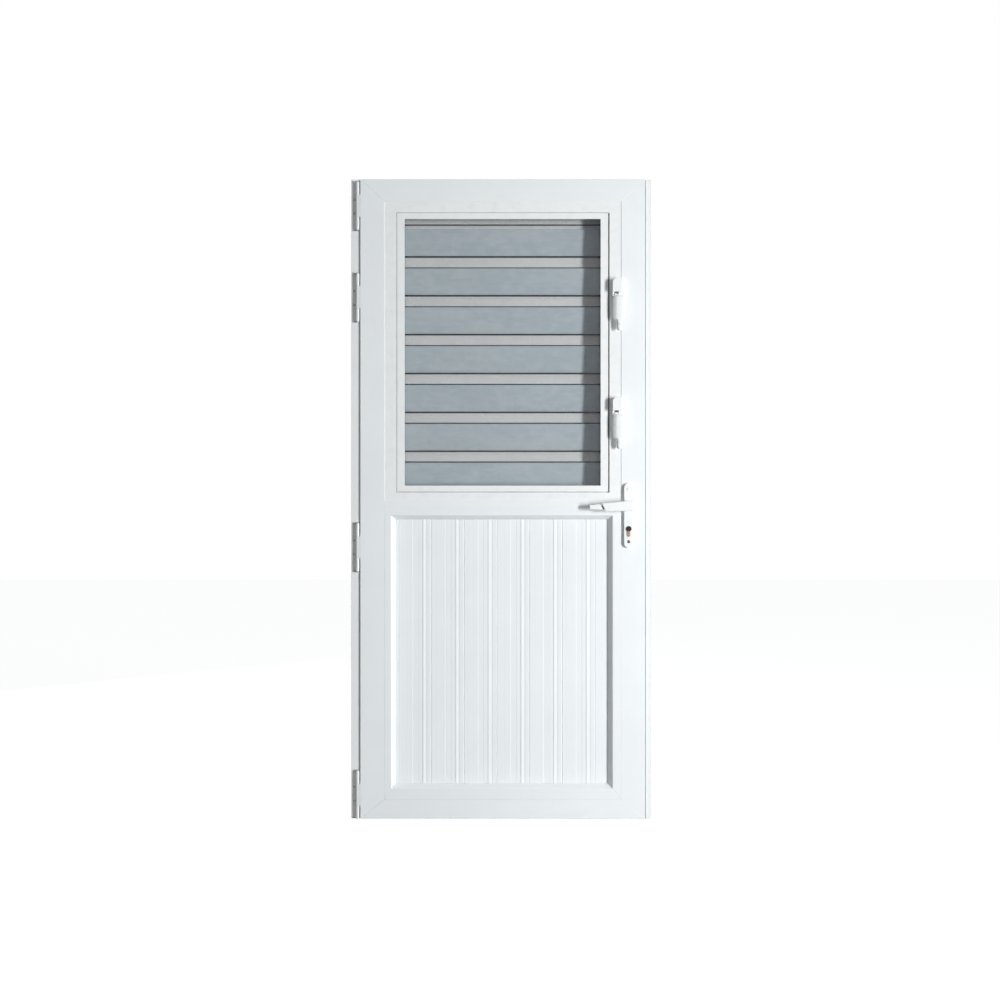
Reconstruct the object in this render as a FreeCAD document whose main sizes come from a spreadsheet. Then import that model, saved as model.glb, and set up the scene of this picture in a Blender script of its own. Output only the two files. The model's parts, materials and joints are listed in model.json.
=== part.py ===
import FreeCAD, Part
import math
import os
import re

import Sketcher

# A single-leaf PVC service door in its frame. The upper half of the leaf is a glass louvre window
# behind a fly screen, the lower half a panel of ribbed planks.
# Frame of reference: X to the right seen from the room, Y away from the viewer, Z up, millimetres.
# The origin is on the floor, in the middle of the frame's width and of its depth.

SIZES = {
    # Door set
    "set_width": 938.0,
    "set_height": 2000.0,
    "frame_depth": 60.0,
    "profile_wall": 2.8,
    "reveal_left": 30.0,           # jamb face seen beside the leaf
    "reveal_right": 18.0,
    "stop_width": 15.0,            # lip that the leaf closes against
    "stop_depth": 14.0,
    "jamb_web": 20.6,              # front chamber of a jamb, from its front face
    "threshold_wall": 2.5,
    # Leaf
    "floor_gap": 3.0,
    "leaf_depth": 60.0,
    "leaf_proud": 18.0,            # leaf in front of the frame
    "face_rise": 12.0,             # raised face of a jamb, beside the leaf
    "face_gap": 2.5,
    "flange_width": 20.0,          # leaf over the frame's front face
    "flange_gap": 3.0,
    "body_gap": 4.0,
    "stile_face": 75.0,
    "top_rail_face": 70.0,
    "bottom_rail_face": 59.5,
    "leg_width": 30.0,             # upstand that the panel and the window sit against
    "leg_depth": 20.0,
    "seal_clearance": 0.4,
    "seal_width": 8.0,
    "seal_inset": 4.0,
    "mid_rail_top": 985.0,
    "mid_rail_body": 14.0,
    "mid_rail_leg": 44.0,
    "cover_lip_height": 12.0,
    # Reinforcement tubes
    "steel_wall": 1.5,
    "frame_steel_width": 24.0,
    "leaf_steel_width": 40.0,
    "leaf_steel_depth": 30.0,
    "steel_clearance": 0.5,
    "steel_end_gap": 12.0,
    # Lower panel and its beads
    "panel_thickness": 20.0,
    "panel_clearance": 1.0,
    "bead_flat": 21.0,
    "right_bead_flat": 27.0,
    "bottom_bead_flat": 33.5,
    "bead_slope": 13.0,
    "bead_lip": 2.0,
    "plank_pitch": 102.6,
    "first_joint": 42.6,           # first plank joint, from the left stile's inner line
    "plank_flat": 44.0,
    "plank_step": 0.6,
    "vee_at": 61.0,
    "vee_depth": 1.6,
    "vee_half": 1.5,
    "rib_at": 78.2,
    "rib_width": 6.0,
    "rib_height": 0.8,
    "dip_at": 87.0,
    "dip_half": 4.0,
    "dip_depth": 0.6,
    "plank_wall": 2.0,
    "plank_skin": 5.5,
    "tongue_length": 4.0,
    "tongue_thickness": 4.0,
    "tongue_depth": 9.0,
    "tongue_clearance": 0.1,
    # Louvre window surround
    "strip_recess": 1.5,
    "strip_thickness": 3.0,
    "left_strip": 38.0,
    "right_strip": 37.0,
    "top_strip": 34.0,
    "sill_strip": 36.5,
    "channel_wall": 4.0,
    "channel_clearance": 0.5,
    "channel_overhang": 16.0,      # surround behind the leaf's back
    "channel_trim": 8.0,
    "channel_trim_thickness": 3.0,
    "screen_seat": 11.0,
    "screen_seat_thickness": 3.0,
    "sill_plate": 4.0,
    "sill_upstand": 45.0,
    "weather_strip_gap": 2.0,
    # Glass blades
    "blade_overlap": 38.9,
    "blade_thickness": 5.0,
    "blade_tilt": 3.5,
    "blade_swing_angle": 80.0,
    "blade_pivot_drop": 43.5,
    "blade_head_gap": 2.7,
    "blade_sill_gap": 3.7,
    "glass_left_gap": 17.5,
    "glass_right_gap": 16.5,
    "clip_hold": 8.0,
    "clip_wall": 1.2,
    "clip_end": 6.0,
    "clip_foot": 42.0,             # clip's lower end above the blade's lower edge
    "clip_left_body": 10.0,
    "clip_right_body": 4.0,
    "pivot_radius": 4.0,
    "boss_radius": 5.5,
    "shaft_clearance": 0.05,
    "crank_reach": 25.0,
    "crank_width": 10.0,
    "crank_thickness": 2.5,
    "crank_pin_radius": 2.5,
    "linkage_clearance": 0.3,
    "bar_gap": 1.5,
    "bar_thickness": 4.0,
    "bar_width": 10.0,
    "bar_end": 8.0,
    "slot_clearance": 0.6,
    "lug_height": 18.0,
    "lug_wall": 3.2,
    # Operators
    "operator_above_pivot": 30.0,  # lever axis above the axis of the last but one blade
    "operator_width": 29.0,
    "operator_height": 40.5,
    "operator_chamfer": 8.0,
    "operator_proud": 25.5,
    "operator_gap": 12.0,
    "operator_axis_depth": 14.0,
    "ear_thickness": 5.0,
    "ear_radius": 4.5,
    "ear_pitch": 19.0,
    "ear_clearance": 0.5,
    "lever_pin_radius": 2.5,
    "lever_hub_radius": 8.0,
    "lever_offset": 7.0,           # lever plate's middle, right of the base's middle
    "lever_width": 31.0,
    "lever_plate": 6.0,
    "lever_length": 74.4,
    "lever_tip_width": 19.0,
    "lever_tip": 33.7,
    "lever_arm": 40.0,
    "lever_arm_width": 8.0,
    "lever_arm_thickness": 4.0,
    "drive_pin_radius": 2.0,
    # Fly screen
    "screen_left_gap": 1.0,
    "screen_right_gap": 4.0,
    "screen_top_gap": 1.0,
    "screen_bottom_gap": 2.5,
    "screen_side_bar": 24.0,
    "screen_cross_bar": 19.0,
    "screen_depth": 10.0,
    "screen_rebate": 8.0,
    "screen_face": 4.7,
    "mesh_thickness": 0.6,
    "spline_width": 5.0,
    "spline_depth": 4.0,
    # Hinges
    "hinge_1_drop": 83.0,          # below the leaf's top
    "hinge_2_drop": 369.0,
    "hinge_3_drop": 135.0,         # below the mid rail's top
    "hinge_4_rise": 74.0,          # above the leaf's bottom
    "hinge_offset": 9.0,           # axis left of the leaf's edge
    "hinge_proud": 11.0,           # axis in front of the frame
    "knuckle_radius": 6.0,
    "knuckle_middle": 69.0,
    "knuckle_end": 39.0,
    "knuckle_gap": 0.3,
    "hinge_pin_radius": 3.0,
    "pin_cap_radius": 5.0,
    "pin_cap": 2.5,
    "notch_clearance": 2.0,
    "hinge_leaf_thickness": 3.0,
    "hinge_leaf_depth": 13.0,
    "hinge_plate_thickness": 3.0,
    "hinge_plate_width": 22.0,
    "hinge_screw_pitch": 44.0,
    # Lock
    "backset": 33.0,
    "handle_height": 981.0,
    "cylinder_drop": 73.0,
    "case_drop": 103.0,            # lock case below the handle's axis
    "case_height": 140.0,
    "case_width": 50.0,
    "case_depth": 16.0,
    "case_wall": 2.0,
    "lock_setback": 18.0,          # lock's middle plane behind the frame's mid depth, toward the room
    "faceplate_height": 180.0,
    "faceplate_width": 20.0,
    "faceplate_thickness": 2.5,
    "bolt_thickness": 10.0,
    "bolt_clearance": 0.3,
    "latch_height": 16.0,
    "latch_throw": 11.0,
    "latch_body": 26.5,
    "latch_bevel": 8.0,
    "deadbolt_height": 22.0,
    "deadbolt_drop": 35.0,
    "deadbolt_length": 24.4,
    "strike_height": 100.0,
    "strike_thickness": 2.0,
    "strike_width": 18.0,
    "cylinder_radius": 8.5,
    "cylinder_foot_radius": 5.0,
    "cylinder_size": 33.0,
    "cylinder_proud": 3.0,
    "plug_radius": 6.5,
    "cam_reach": 13.0,
    "cam_width": 8.0,
    "cam_thickness": 9.0,
    "cam_clearance": 0.5,
    "key_slot": 2.4,
    "key_slot_depth": 9.0,
    "key_slot_half": 4.2,
    # Handles
    "backplate_width": 28.0,
    "backplate_drop": 132.0,
    "backplate_height": 201.0,
    "backplate_thickness": 10.0,
    "backplate_screw_inset": 19.0,
    "spindle_size": 8.0,
    "spindle_bore": 8.0,
    "neck_radius": 10.0,
    "neck_gap": 0.3,
    "grip_standoff": 20.0,
    "grip_thickness": 14.0,
    "grip_height": 34.0,
    "grip_length": 82.0,
    "grip_heel": 13.0,
    "grip_end_rise": 7.0,
    "grip_end_fall": 18.5,
    "grip_tip": 41.0,
    "grip_tip_height": 15.4,
    "grip_tip_fall": 12.6,
    "grip_tip_setback": 6.0,
    # Fixings
    "fixing_radius": 5.2,
    "fixing_low": 150.0,
    "fixing_top": 200.0,
    "fixing_depth": 8.0,           # fixing holes behind the frame's mid depth
    "screw_radius": 2.0,
    "screw_head_radius": 4.0,
    "screw_head": 2.0,
    "screw_length": 14.0,
    "corner_screw_length": 26.0,
    "handle_screw_radius": 2.5,
}

BLADES = 7
UPPER_BLADES = 3
FIXINGS = 4
HINGES = 4

# Places that follow from the sizes. Each is an expression in sizes and other places.
PLACES = {
    "frame_left": "-set_width / 2",
    "frame_right": "set_width / 2",
    "frame_front": "-frame_depth / 2",
    "frame_back": "frame_depth / 2",
    "leaf_left": "frame_left + reveal_left",
    "leaf_right": "frame_right - reveal_right",
    "leaf_bottom": "floor_gap",
    "leaf_top": "set_height",
    "leaf_front": "frame_front - leaf_proud",
    "leaf_back": "leaf_front + leaf_depth",
    "flange_back": "frame_front - flange_gap",
    "core_left": "leaf_left + flange_width",
    "core_right": "leaf_right - flange_width",
    "core_top": "leaf_top - flange_width",
    "core_bottom": "leaf_bottom + flange_width",
    "jamb_left": "core_left - body_gap",
    "jamb_right": "core_right + body_gap",
    "head_under": "core_top + body_gap",
    "threshold_top": "core_bottom - body_gap",
    "stop_front": "frame_back - stop_depth",
    "stop_left": "jamb_left + stop_width",
    "stop_right": "jamb_right - stop_width",
    "web_front": "frame_front + jamb_web",
    "left_line": "leaf_left + stile_face",
    "right_line": "leaf_right - stile_face",
    "top_line": "leaf_top - top_rail_face",
    "bottom_line": "leaf_bottom + bottom_rail_face",
    "leg_left": "left_line + leg_width",
    "leg_right": "right_line - leg_width",
    "leg_top": "top_line - leg_width",
    "leg_bottom": "bottom_line + leg_width",
    "leg_front": "leaf_back - leg_depth",
    "panel_front": "leg_front - panel_thickness",
    "mid_rail_under": "mid_rail_top - mid_rail_body",
    "mid_leg_under": "mid_rail_top - mid_rail_leg",
    "bead_back": "panel_front - rib_height",
    "plank_bottom": "bottom_line + panel_clearance",
    "plank_top": "mid_rail_under - panel_clearance",
    # Louvre window
    "strip_front": "leaf_front + strip_recess",
    "strip_back": "strip_front + strip_thickness",
    "strip_left": "left_line + left_strip",
    "strip_right": "right_line - right_strip",
    "strip_top": "top_line - top_strip",
    "strip_bottom": "mid_rail_top + sill_strip",
    "web_left_outer": "leg_left + channel_clearance",
    "web_left": "web_left_outer + channel_wall",
    "web_right_outer": "leg_right - channel_clearance",
    "web_right": "web_right_outer - channel_wall",
    "channel_top": "leg_top - channel_clearance",
    "channel_back": "leaf_back + channel_overhang",
    "screen_back": "strip_front + screen_depth",
    "blade_pitch": "(strip_top - blade_head_gap - mid_rail_top - sill_plate - blade_sill_gap"
                   " - blade_overlap) / %d" % BLADES,
    "blade_height": "blade_pitch + blade_overlap",
    "pivot_y": "leaf_back",
    "pivot_first": "strip_top - blade_head_gap - blade_pivot_drop",
    "glass_left": "web_left + glass_left_gap",
    "glass_right": "web_right - glass_right_gap",
    "crank_left": "glass_right + clip_right_body",
    "crank_right": "crank_left + crank_thickness",
    "bar_left": "crank_right + bar_gap",
    "bar_right": "bar_left + bar_thickness",
    "crank_rise": "blade_swing_angle / 2",
    "bar_y": "pivot_y - crank_reach * cos(crank_rise)",
    "crank_lift": "crank_reach * sin(crank_rise)",
    # Operators
    "operator_right": "right_line",
    "operator_left": "operator_right - operator_width",
    "operator_front": "strip_front - operator_proud",
    "lever_y": "operator_front + operator_axis_depth",
    "lever_rise": "asin(crank_reach * sin(crank_rise) / lever_arm)",
    "drive_y": "lever_y + lever_arm * cos(lever_rise)",
    "hub_left": "operator_left + ear_thickness + ear_clearance",
    "hub_right": "operator_left + ear_pitch - ear_clearance",
    "arm_left": "hub_left + (hub_right - hub_left - lever_arm_thickness) / 2",
    "arm_right": "arm_left + lever_arm_thickness",
    "lever_middle": "(operator_left + operator_right) / 2 + lever_offset",
    # Fly screen
    "screen_left": "strip_left + screen_left_gap",
    "screen_right": "strip_right - screen_right_gap",
    "screen_top": "strip_top - screen_top_gap",
    "screen_bottom": "strip_bottom + screen_bottom_gap",
    "mesh_front": "strip_front + screen_face",
    "mesh_back": "mesh_front + mesh_thickness",
    # Hinges
    "hinge_x": "leaf_left - hinge_offset",
    "hinge_y": "frame_front - hinge_proud",
    "hinge_1_height": "leaf_top - hinge_1_drop",
    "hinge_2_height": "leaf_top - hinge_2_drop",
    "hinge_3_height": "mid_rail_top - hinge_3_drop",
    "hinge_4_height": "leaf_bottom + hinge_4_rise",
    # Lock and handles
    "handle_x": "core_right - backset",
    "lock_y": "-lock_setback",
    "cylinder_height": "handle_height - cylinder_drop",
    "case_bottom": "handle_height - case_drop",
    "case_top": "case_bottom + case_height",
    "case_left": "core_right - case_width",
    "bolt_front": "lock_y - bolt_thickness / 2",
    "bolt_back": "lock_y + bolt_thickness / 2",
    "faceplate_right": "core_right + faceplate_thickness",
    "faceplate_bottom": "case_bottom - (faceplate_height - case_height) / 2",
    "latch_left": "faceplate_right + latch_throw - latch_body",
    "deadbolt_middle": "handle_height - deadbolt_drop",
    "strike_bottom": "handle_height - deadbolt_drop / 2 - strike_height / 2",
    "inner_plate_front": "leaf_front - backplate_thickness",
    "outer_plate_back": "leaf_back + backplate_thickness",
    "backplate_bottom": "handle_height - backplate_drop",
    "backplate_top": "backplate_bottom + backplate_height",
    "cylinder_front": "inner_plate_front - cylinder_proud",
    "cylinder_back": "outer_plate_back + cylinder_proud",
    "strike_recess_end": "jamb_right + profile_wall",
    "fixing_pitch": "(set_height - fixing_low - fixing_top) / %d" % (FIXINGS - 1),
}

FUNCTIONS = ("sin", "cos", "tan", "asin")
ALONG = {
    "x": FreeCAD.Rotation(FreeCAD.Vector(0, 1, 0), 90),
    "y": FreeCAD.Rotation(FreeCAD.Vector(1, 0, 0), -90),
    "z": FreeCAD.Rotation(),
}
SKETCH_CIRCLE = 100.0              # where a sketch's corners lie before its constraints place them

doc = FreeCAD.newDocument("LouvredServiceDoor")
sheet = doc.addObject("Spreadsheet::Sheet", "Sizes")
for row, (alias, value) in enumerate(SIZES.items(), start=1):
    sheet.set("A%d" % row, alias)
    sheet.set("B%d" % row, str(value))
    sheet.setAlias("B%d" % row, alias)
doc.recompute()

nodes = []


# ---------------------------------------------------------------- helpers

def spelled(text):
    """Write out the places in an expression, and point its sizes at the sheet."""
    def swap(match):
        word = match.group(0)
        if word in FUNCTIONS:
            return word
        if word in PLACES:
            return "(" + spelled(PLACES[word]) + ")"
        return "Sizes." + word
    return re.sub(r"[a-z][a-z_0-9]*", swap, str(text))


def bind(thing, name, text):
    thing.setExpression(name, spelled(text))


def put(thing, x, y, z):
    for axis, text in zip("xyz", (x, y, z)):
        bind(thing, "Placement.Base." + axis, text)


def block(x, y, z):
    """A box between two places on each axis."""
    box = doc.addObject("Part::Box", "Block")
    for side, (low, high) in zip(("Length", "Width", "Height"), (x, y, z)):
        bind(box, side, "(%s) - (%s)" % (high, low))
    put(box, x[0], y[0], z[0])
    return box


def rod(axis, start, end, across, radius):
    """A cylinder along an axis. across holds its place on the other two axes, in their order."""
    cylinder = doc.addObject("Part::Cylinder", "Rod")
    bind(cylinder, "Radius", radius)
    bind(cylinder, "Height", "(%s) - (%s)" % (end, start))
    cylinder.Placement = FreeCAD.Placement(FreeCAD.Vector(), ALONG[axis])
    places = list(across)
    places.insert("xyz".index(axis), start)
    put(cylinder, *places)
    return cylinder


def link(x, y, z, reach, width, angle):
    """A flat bar lying across X. It starts at (y, z) and points at an angle up from +Y."""
    bar = doc.addObject("Part::Box", "Link")
    bind(bar, "Length", "(%s) - (%s)" % (x[1], x[0]))
    bind(bar, "Width", reach)
    bind(bar, "Height", width)
    bar.Placement = FreeCAD.Placement(FreeCAD.Vector(), FreeCAD.Rotation(FreeCAD.Vector(1, 0, 0), 45))
    bind(bar, "Placement.Rotation.Angle", angle)
    half = "(%s) / 2" % width
    put(bar, x[0], "%s + %s * sin(%s)" % (y, half, angle), "%s - %s * cos(%s)" % (z, half, angle))
    return bar


def cut(base, *tools):
    result = doc.addObject("Part::Cut", "Cut")
    result.Base = base
    result.Tool = tools[0] if len(tools) == 1 else together(*tools)
    return result


def common(first, second):
    result = doc.addObject("Part::Common", "Common")
    result.Base = first
    result.Tool = second
    return result


def fuse(*shapes):
    result = doc.addObject("Part::MultiFuse", "Fuse")
    result.Shapes = list(shapes)
    return result


def together(*shapes):
    """Separate solids that make one node."""
    result = doc.addObject("Part::Compound", "Group")
    result.Links = list(shapes)
    return result


def node(name, shape):
    """Name a finished sub-part. Its label names its file."""
    shape.Label = name
    nodes.append(shape)
    return shape


def draw(sketch, loop):
    """Draw a closed outline whose corners are each held by two distances from the origin."""
    count = len(loop)
    first = sketch.GeometryCount
    turn = 2 * math.pi / count
    spots = [FreeCAD.Vector(SKETCH_CIRCLE * math.cos(turn * i), SKETCH_CIRCLE * math.sin(turn * i), 0)
             for i in range(count)]
    for i in range(count):
        sketch.addGeometry(Part.LineSegment(spots[i], spots[(i + 1) % count]), False)
    for i in range(count):
        sketch.addConstraint(Sketcher.Constraint("Coincident", first + i, 2, first + (i + 1) % count, 1))
    for i, corner in enumerate(loop):
        for kind, text in zip(("DistanceX", "DistanceY"), corner):
            index = sketch.addConstraint(Sketcher.Constraint(kind, -1, 1, first + i, 1, 1.0))
            bind(sketch, "Constraints[%d]" % index, text)


def prism(plane, loops, low, high):
    """A body padded from closed outlines, from low to high across an origin plane.

    The first outline is the outside and the rest are hollows. The outlines are written in X and Y,
    in X and Z or in Y and Z.
    """
    body = doc.addObject("PartDesign::Body", "Body")
    sketch = body.newObject("Sketcher::SketchObject", "Outline")
    role = plane + "_Plane"
    support = [feature for feature in body.Origin.OriginFeatures if feature.Role == role][0]
    sketch.AttachmentSupport = [(support, "")]
    sketch.MapMode = "FlatFace"
    # The XZ plane faces -Y, so its pads start at the high end.
    bind(sketch, "AttachmentOffset.Base.z", "-(%s)" % high if plane == "XZ" else low)
    for loop in loops:
        draw(sketch, loop)
    pad = body.newObject("PartDesign::Pad", "Pad")
    pad.Profile = sketch
    bind(pad, "Length", "(%s) - (%s)" % (high, low))
    body.Tip = pad
    return body


def rectangle(across, up):
    return [(across[0], up[0]), (across[1], up[0]), (across[1], up[1]), (across[0], up[1])]


def inward(line, side):
    """Distances from an outer line towards the middle. side is + or -."""
    return lambda distance: "%s %s (%s)" % (line, side, distance)


def screw(axis, face, across, side, length="screw_length", radius="screw_radius"):
    """A screw whose head is flush with a face. side is the way it points along its axis."""
    ends = {
        "+": ((face, "%s + screw_head" % face), (face, "%s + %s" % (face, length))),
        "-": (("%s - screw_head" % face, face), ("%s - %s" % (face, length), face)),
    }[side]
    return fuse(rod(axis, ends[0][0], ends[0][1], across, "screw_head_radius"),
                rod(axis, ends[1][0], ends[1][1], across, radius))


# ---------------------------------------------------------------- fixings used by several pieces

hinge_heights = ["hinge_%d_height" % (number + 1) for number in range(HINGES)]


def make_hinge_screws():
    """Two screws for each frame plate and two for each leaf plate."""
    frame_side = []
    leaf_side = []
    for height in hinge_heights:
        for way in ("+", "-"):
            level = "%s %s hinge_screw_pitch / 2" % (height, way)
            plate_middle = "hinge_x - hinge_plate_width / 2 + hinge_plate_thickness - screw_head_radius"
            frame_side.append(screw("y", "frame_front - hinge_plate_thickness", (plate_middle, level), "+"))
            leaf_side.append(screw("x", "leaf_left - hinge_leaf_thickness", ("hinge_y", level), "+"))
    return frame_side, leaf_side


def make_corner_screws():
    """Screws from inside the jambs' chambers into the ends of the head and the threshold."""
    screws = []
    for level in ("(head_under + set_height) / 2", "threshold_top / 2"):
        across = ("0", level)
        screws.append(screw("x", "jamb_left - profile_wall - screw_head", across, "+",
                            "corner_screw_length"))
        screws.append(screw("x", "jamb_right + profile_wall + screw_head", across, "-",
                            "corner_screw_length"))
    return screws


def make_strike_screws():
    middle = "strike_bottom + strike_height / 2"
    return [screw("x", "jamb_right", ("lock_y", "%s %s (strike_height / 2 - 2 * screw_head_radius)"
                                      % (middle, way)), "+") for way in ("+", "-")]


def make_faceplate_screws():
    middle = "faceplate_bottom + faceplate_height / 2"
    return [screw("x", "faceplate_right", ("lock_y", "%s %s (faceplate_height / 2 - 2 * screw_head_radius)"
                                           % (middle, way)), "-") for way in ("+", "-")]


def make_handle_screws():
    """Through screws that clamp the leaf between the two handle plates."""
    levels = ("backplate_bottom + backplate_screw_inset", "backplate_top - backplate_screw_inset")
    return [screw("y", "inner_plate_front", ("handle_x", level), "+",
                  "leaf_depth + backplate_thickness * 3 / 2", "handle_screw_radius") for level in levels]


frame_hinge_screws, leaf_hinge_screws = make_hinge_screws()
corner_screws = make_corner_screws()
strike_screws = make_strike_screws()
faceplate_screws = make_faceplate_screws()
handle_screws = make_handle_screws()


def fixing_holes(start, end):
    """The row of holes through a jamb for its wall fixings."""
    return [rod("x", start, end, ("fixing_depth", "fixing_low + %d * fixing_pitch" % number),
                "fixing_radius") for number in range(FIXINGS)]


# ---------------------------------------------------------------- frame

def make_jamb(name, outer_line, inner_line, side):
    """An upright with two chambers, a stop lip and a raised face beside the leaf's edge."""
    outer = inward(outer_line, side)
    inner = inward(inner_line, side)
    back_inside = "frame_back - profile_wall"
    reveal = {"+": "reveal_left", "-": "reveal_right"}[side] + " - face_gap"
    face_front = "frame_front - face_rise"
    outline = [
        (outer("0"), face_front), (outer(reveal), face_front), (outer(reveal), "frame_front"),
        (inner("0"), "frame_front"), (inner("0"), "stop_front"),
        (inner("stop_width"), "stop_front"), (inner("stop_width"), "frame_back"),
        (outer("0"), "frame_back"),
    ]
    chamber = (outer("profile_wall"), inner("-profile_wall"))
    hollows = [
        rectangle((outer("profile_wall"), outer(reveal + " - profile_wall")),
                  (face_front + " + profile_wall", "frame_front")),
        rectangle(chamber, ("frame_front + profile_wall", "web_front")),
        rectangle(chamber, ("web_front + profile_wall", back_inside)),
        rectangle((inner("0"), inner("stop_width - profile_wall")),
                  ("stop_front + profile_wall", back_inside)),
    ]
    profile = prism("XY", [outline] + hollows, "0", "set_height")
    low, high = (outer_line, stop_end(side)) if side == "+" else (stop_end(side), outer_line)
    tools = frame_hinge_screws + corner_screws + fixing_holes(low, high)
    if side == "-":
        tools = tools + strike_screws + [strike_recess(), bolt_path("jamb_right", "strike_recess_end")]
    else:
        tools = tools + hinge_notches()
    return node(name, cut(profile, *tools))


def hinge_notches():
    """Gaps in the left jamb's raised face, one for each hinge."""
    reach = "(knuckle_middle / 2 + knuckle_end + pin_cap + notch_clearance)"
    return [block(("frame_left", "leaf_left"), ("frame_front - face_rise", "frame_front"),
                  ("%s - %s" % (height, reach), "%s + %s" % (height, reach)))
            for height in hinge_heights]


def stop_end(side):
    return "stop_left" if side == "+" else "stop_right"


def strike_recess():
    half = "strike_width / 2"
    return block(("jamb_right", "jamb_right + strike_thickness"),
                 ("lock_y - " + half, "lock_y + " + half),
                 ("strike_bottom", "strike_bottom + strike_height"))


def bolt_path(start, end):
    """The way of the latch and the deadbolt through a wall or a plate."""
    depth = ("bolt_front - bolt_clearance", "bolt_back + bolt_clearance")
    paths = []
    for middle, height in (("handle_height", "latch_height"), ("deadbolt_middle", "deadbolt_height")):
        half = "(%s / 2 + bolt_clearance)" % height
        paths.append(block((start, end), depth, ("%s - %s" % (middle, half), "%s + %s" % (middle, half))))
    return together(*paths)


def notched(shape, low, high):
    """Clear the jambs' stop lips at both ends of a cross member."""
    depth = ("stop_front", "frame_back")
    return cut(shape, block(("jamb_left", "stop_left"), depth, (low, high)),
               block(("stop_right", "jamb_right"), depth, (low, high)), *corner_screws)


def make_head():
    stop_under = "head_under - stop_width"
    outline = [
        ("frame_front", "head_under"), ("frame_front", "set_height"), ("frame_back", "set_height"),
        ("frame_back", stop_under), ("stop_front", stop_under), ("stop_front", "head_under"),
    ]
    hollows = [
        rectangle(("frame_front + profile_wall", "frame_back - profile_wall"),
                  ("head_under + profile_wall", "set_height - profile_wall")),
        rectangle(("stop_front + profile_wall", "frame_back - profile_wall"),
                  (stop_under + " + profile_wall", "head_under")),
    ]
    profile = prism("YZ", [outline] + hollows, "jamb_left", "jamb_right")
    return node("frame_head", notched(profile, stop_under, "set_height"))


def make_threshold():
    lip_top = "threshold_top + stop_width"
    outline = [
        ("frame_front", "0"), ("frame_front", "threshold_top"), ("stop_front", "threshold_top"),
        ("stop_front", lip_top), ("frame_back", lip_top), ("frame_back", "0"),
    ]
    hollows = [
        rectangle(("frame_front + threshold_wall", "stop_front - threshold_wall"),
                  ("threshold_wall", "threshold_top - threshold_wall")),
        rectangle(("stop_front + threshold_wall", "frame_back - threshold_wall"),
                  ("threshold_wall", lip_top + " - threshold_wall")),
    ]
    profile = prism("YZ", [outline] + hollows, "jamb_left", "jamb_right")
    return node("threshold", notched(profile, "0", lip_top))


def tube(x, y, z):
    """A rectangular steel tube standing upright."""
    inner_x = ("%s + steel_wall" % x[0], "%s - steel_wall" % x[1])
    inner_y = ("%s + steel_wall" % y[0], "%s - steel_wall" % y[1])
    return cut(block(x, y, z), block(inner_x, inner_y, z))


def make_frame_steels():
    depth = ("web_front + profile_wall + steel_clearance",
             "frame_back - profile_wall - steel_clearance")
    height = ("steel_end_gap", "set_height - steel_end_gap")
    left = tube(("frame_left + profile_wall", "frame_left + profile_wall + frame_steel_width"),
                depth, height)
    right = tube(("frame_right - profile_wall - frame_steel_width", "frame_right - profile_wall"),
                 depth, height)
    left = cut(left, *(fixing_holes("frame_left", "stop_left") + corner_screws))
    right = cut(right, *(fixing_holes("stop_right", "frame_right") + corner_screws))
    return node("frame_steels", together(left, right))


def make_frame_seal():
    """Four strips on the stop lips, just clear of the closed leaf."""
    depth = ("leaf_back + seal_clearance", "stop_front")
    upright = ("threshold_top", "head_under")
    lie = ("stop_left", "stop_right")
    strips = [
        block(("stop_left - seal_inset - seal_width", "stop_left - seal_inset"), depth, upright),
        block(("stop_right + seal_inset", "stop_right + seal_inset + seal_width"), depth, upright),
        block(lie, depth, ("head_under - seal_inset - seal_width", "head_under - seal_inset")),
        block(lie, depth, ("threshold_top + seal_inset", "threshold_top + seal_inset + seal_width")),
    ]
    return node("frame_seal", together(*strips))


def make_strike_plate():
    plate = strike_recess()
    return node("strike_plate", cut(plate, bolt_path("jamb_right", "jamb_right + strike_thickness"),
                                    *strike_screws))


# ---------------------------------------------------------------- hinges

def make_hinge_frame_halves():
    """Plates on the left jamb, each with the upper and the lower knuckle of a hinge."""
    halves = []
    for height in hinge_heights:
        inner_end = "(knuckle_middle / 2 + knuckle_gap)"
        outer_end = "(knuckle_middle / 2 + knuckle_end)"
        spans = (("%s + %s" % (height, inner_end), "%s + %s" % (height, outer_end)),
                 ("%s - %s" % (height, outer_end), "%s - %s" % (height, inner_end)))
        parts = [block(("hinge_x + hinge_plate_thickness - hinge_plate_width",
                        "hinge_x + hinge_plate_thickness"),
                       ("frame_front - hinge_plate_thickness", "frame_front"),
                       (spans[1][0], spans[0][1]))]
        for span in spans:
            parts.append(rod("z", span[0], span[1], ("hinge_x", "hinge_y"), "knuckle_radius"))
            parts.append(block(("hinge_x - knuckle_radius", "hinge_x"),
                               ("hinge_y", "frame_front - hinge_plate_thickness"), span))
        bore = rod("z", spans[1][0], spans[0][1], ("hinge_x", "hinge_y"), "hinge_pin_radius")
        halves.append(cut(fuse(*parts), bore))
    return node("hinge_frame_halves", cut(together(*halves), *frame_hinge_screws))


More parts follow.
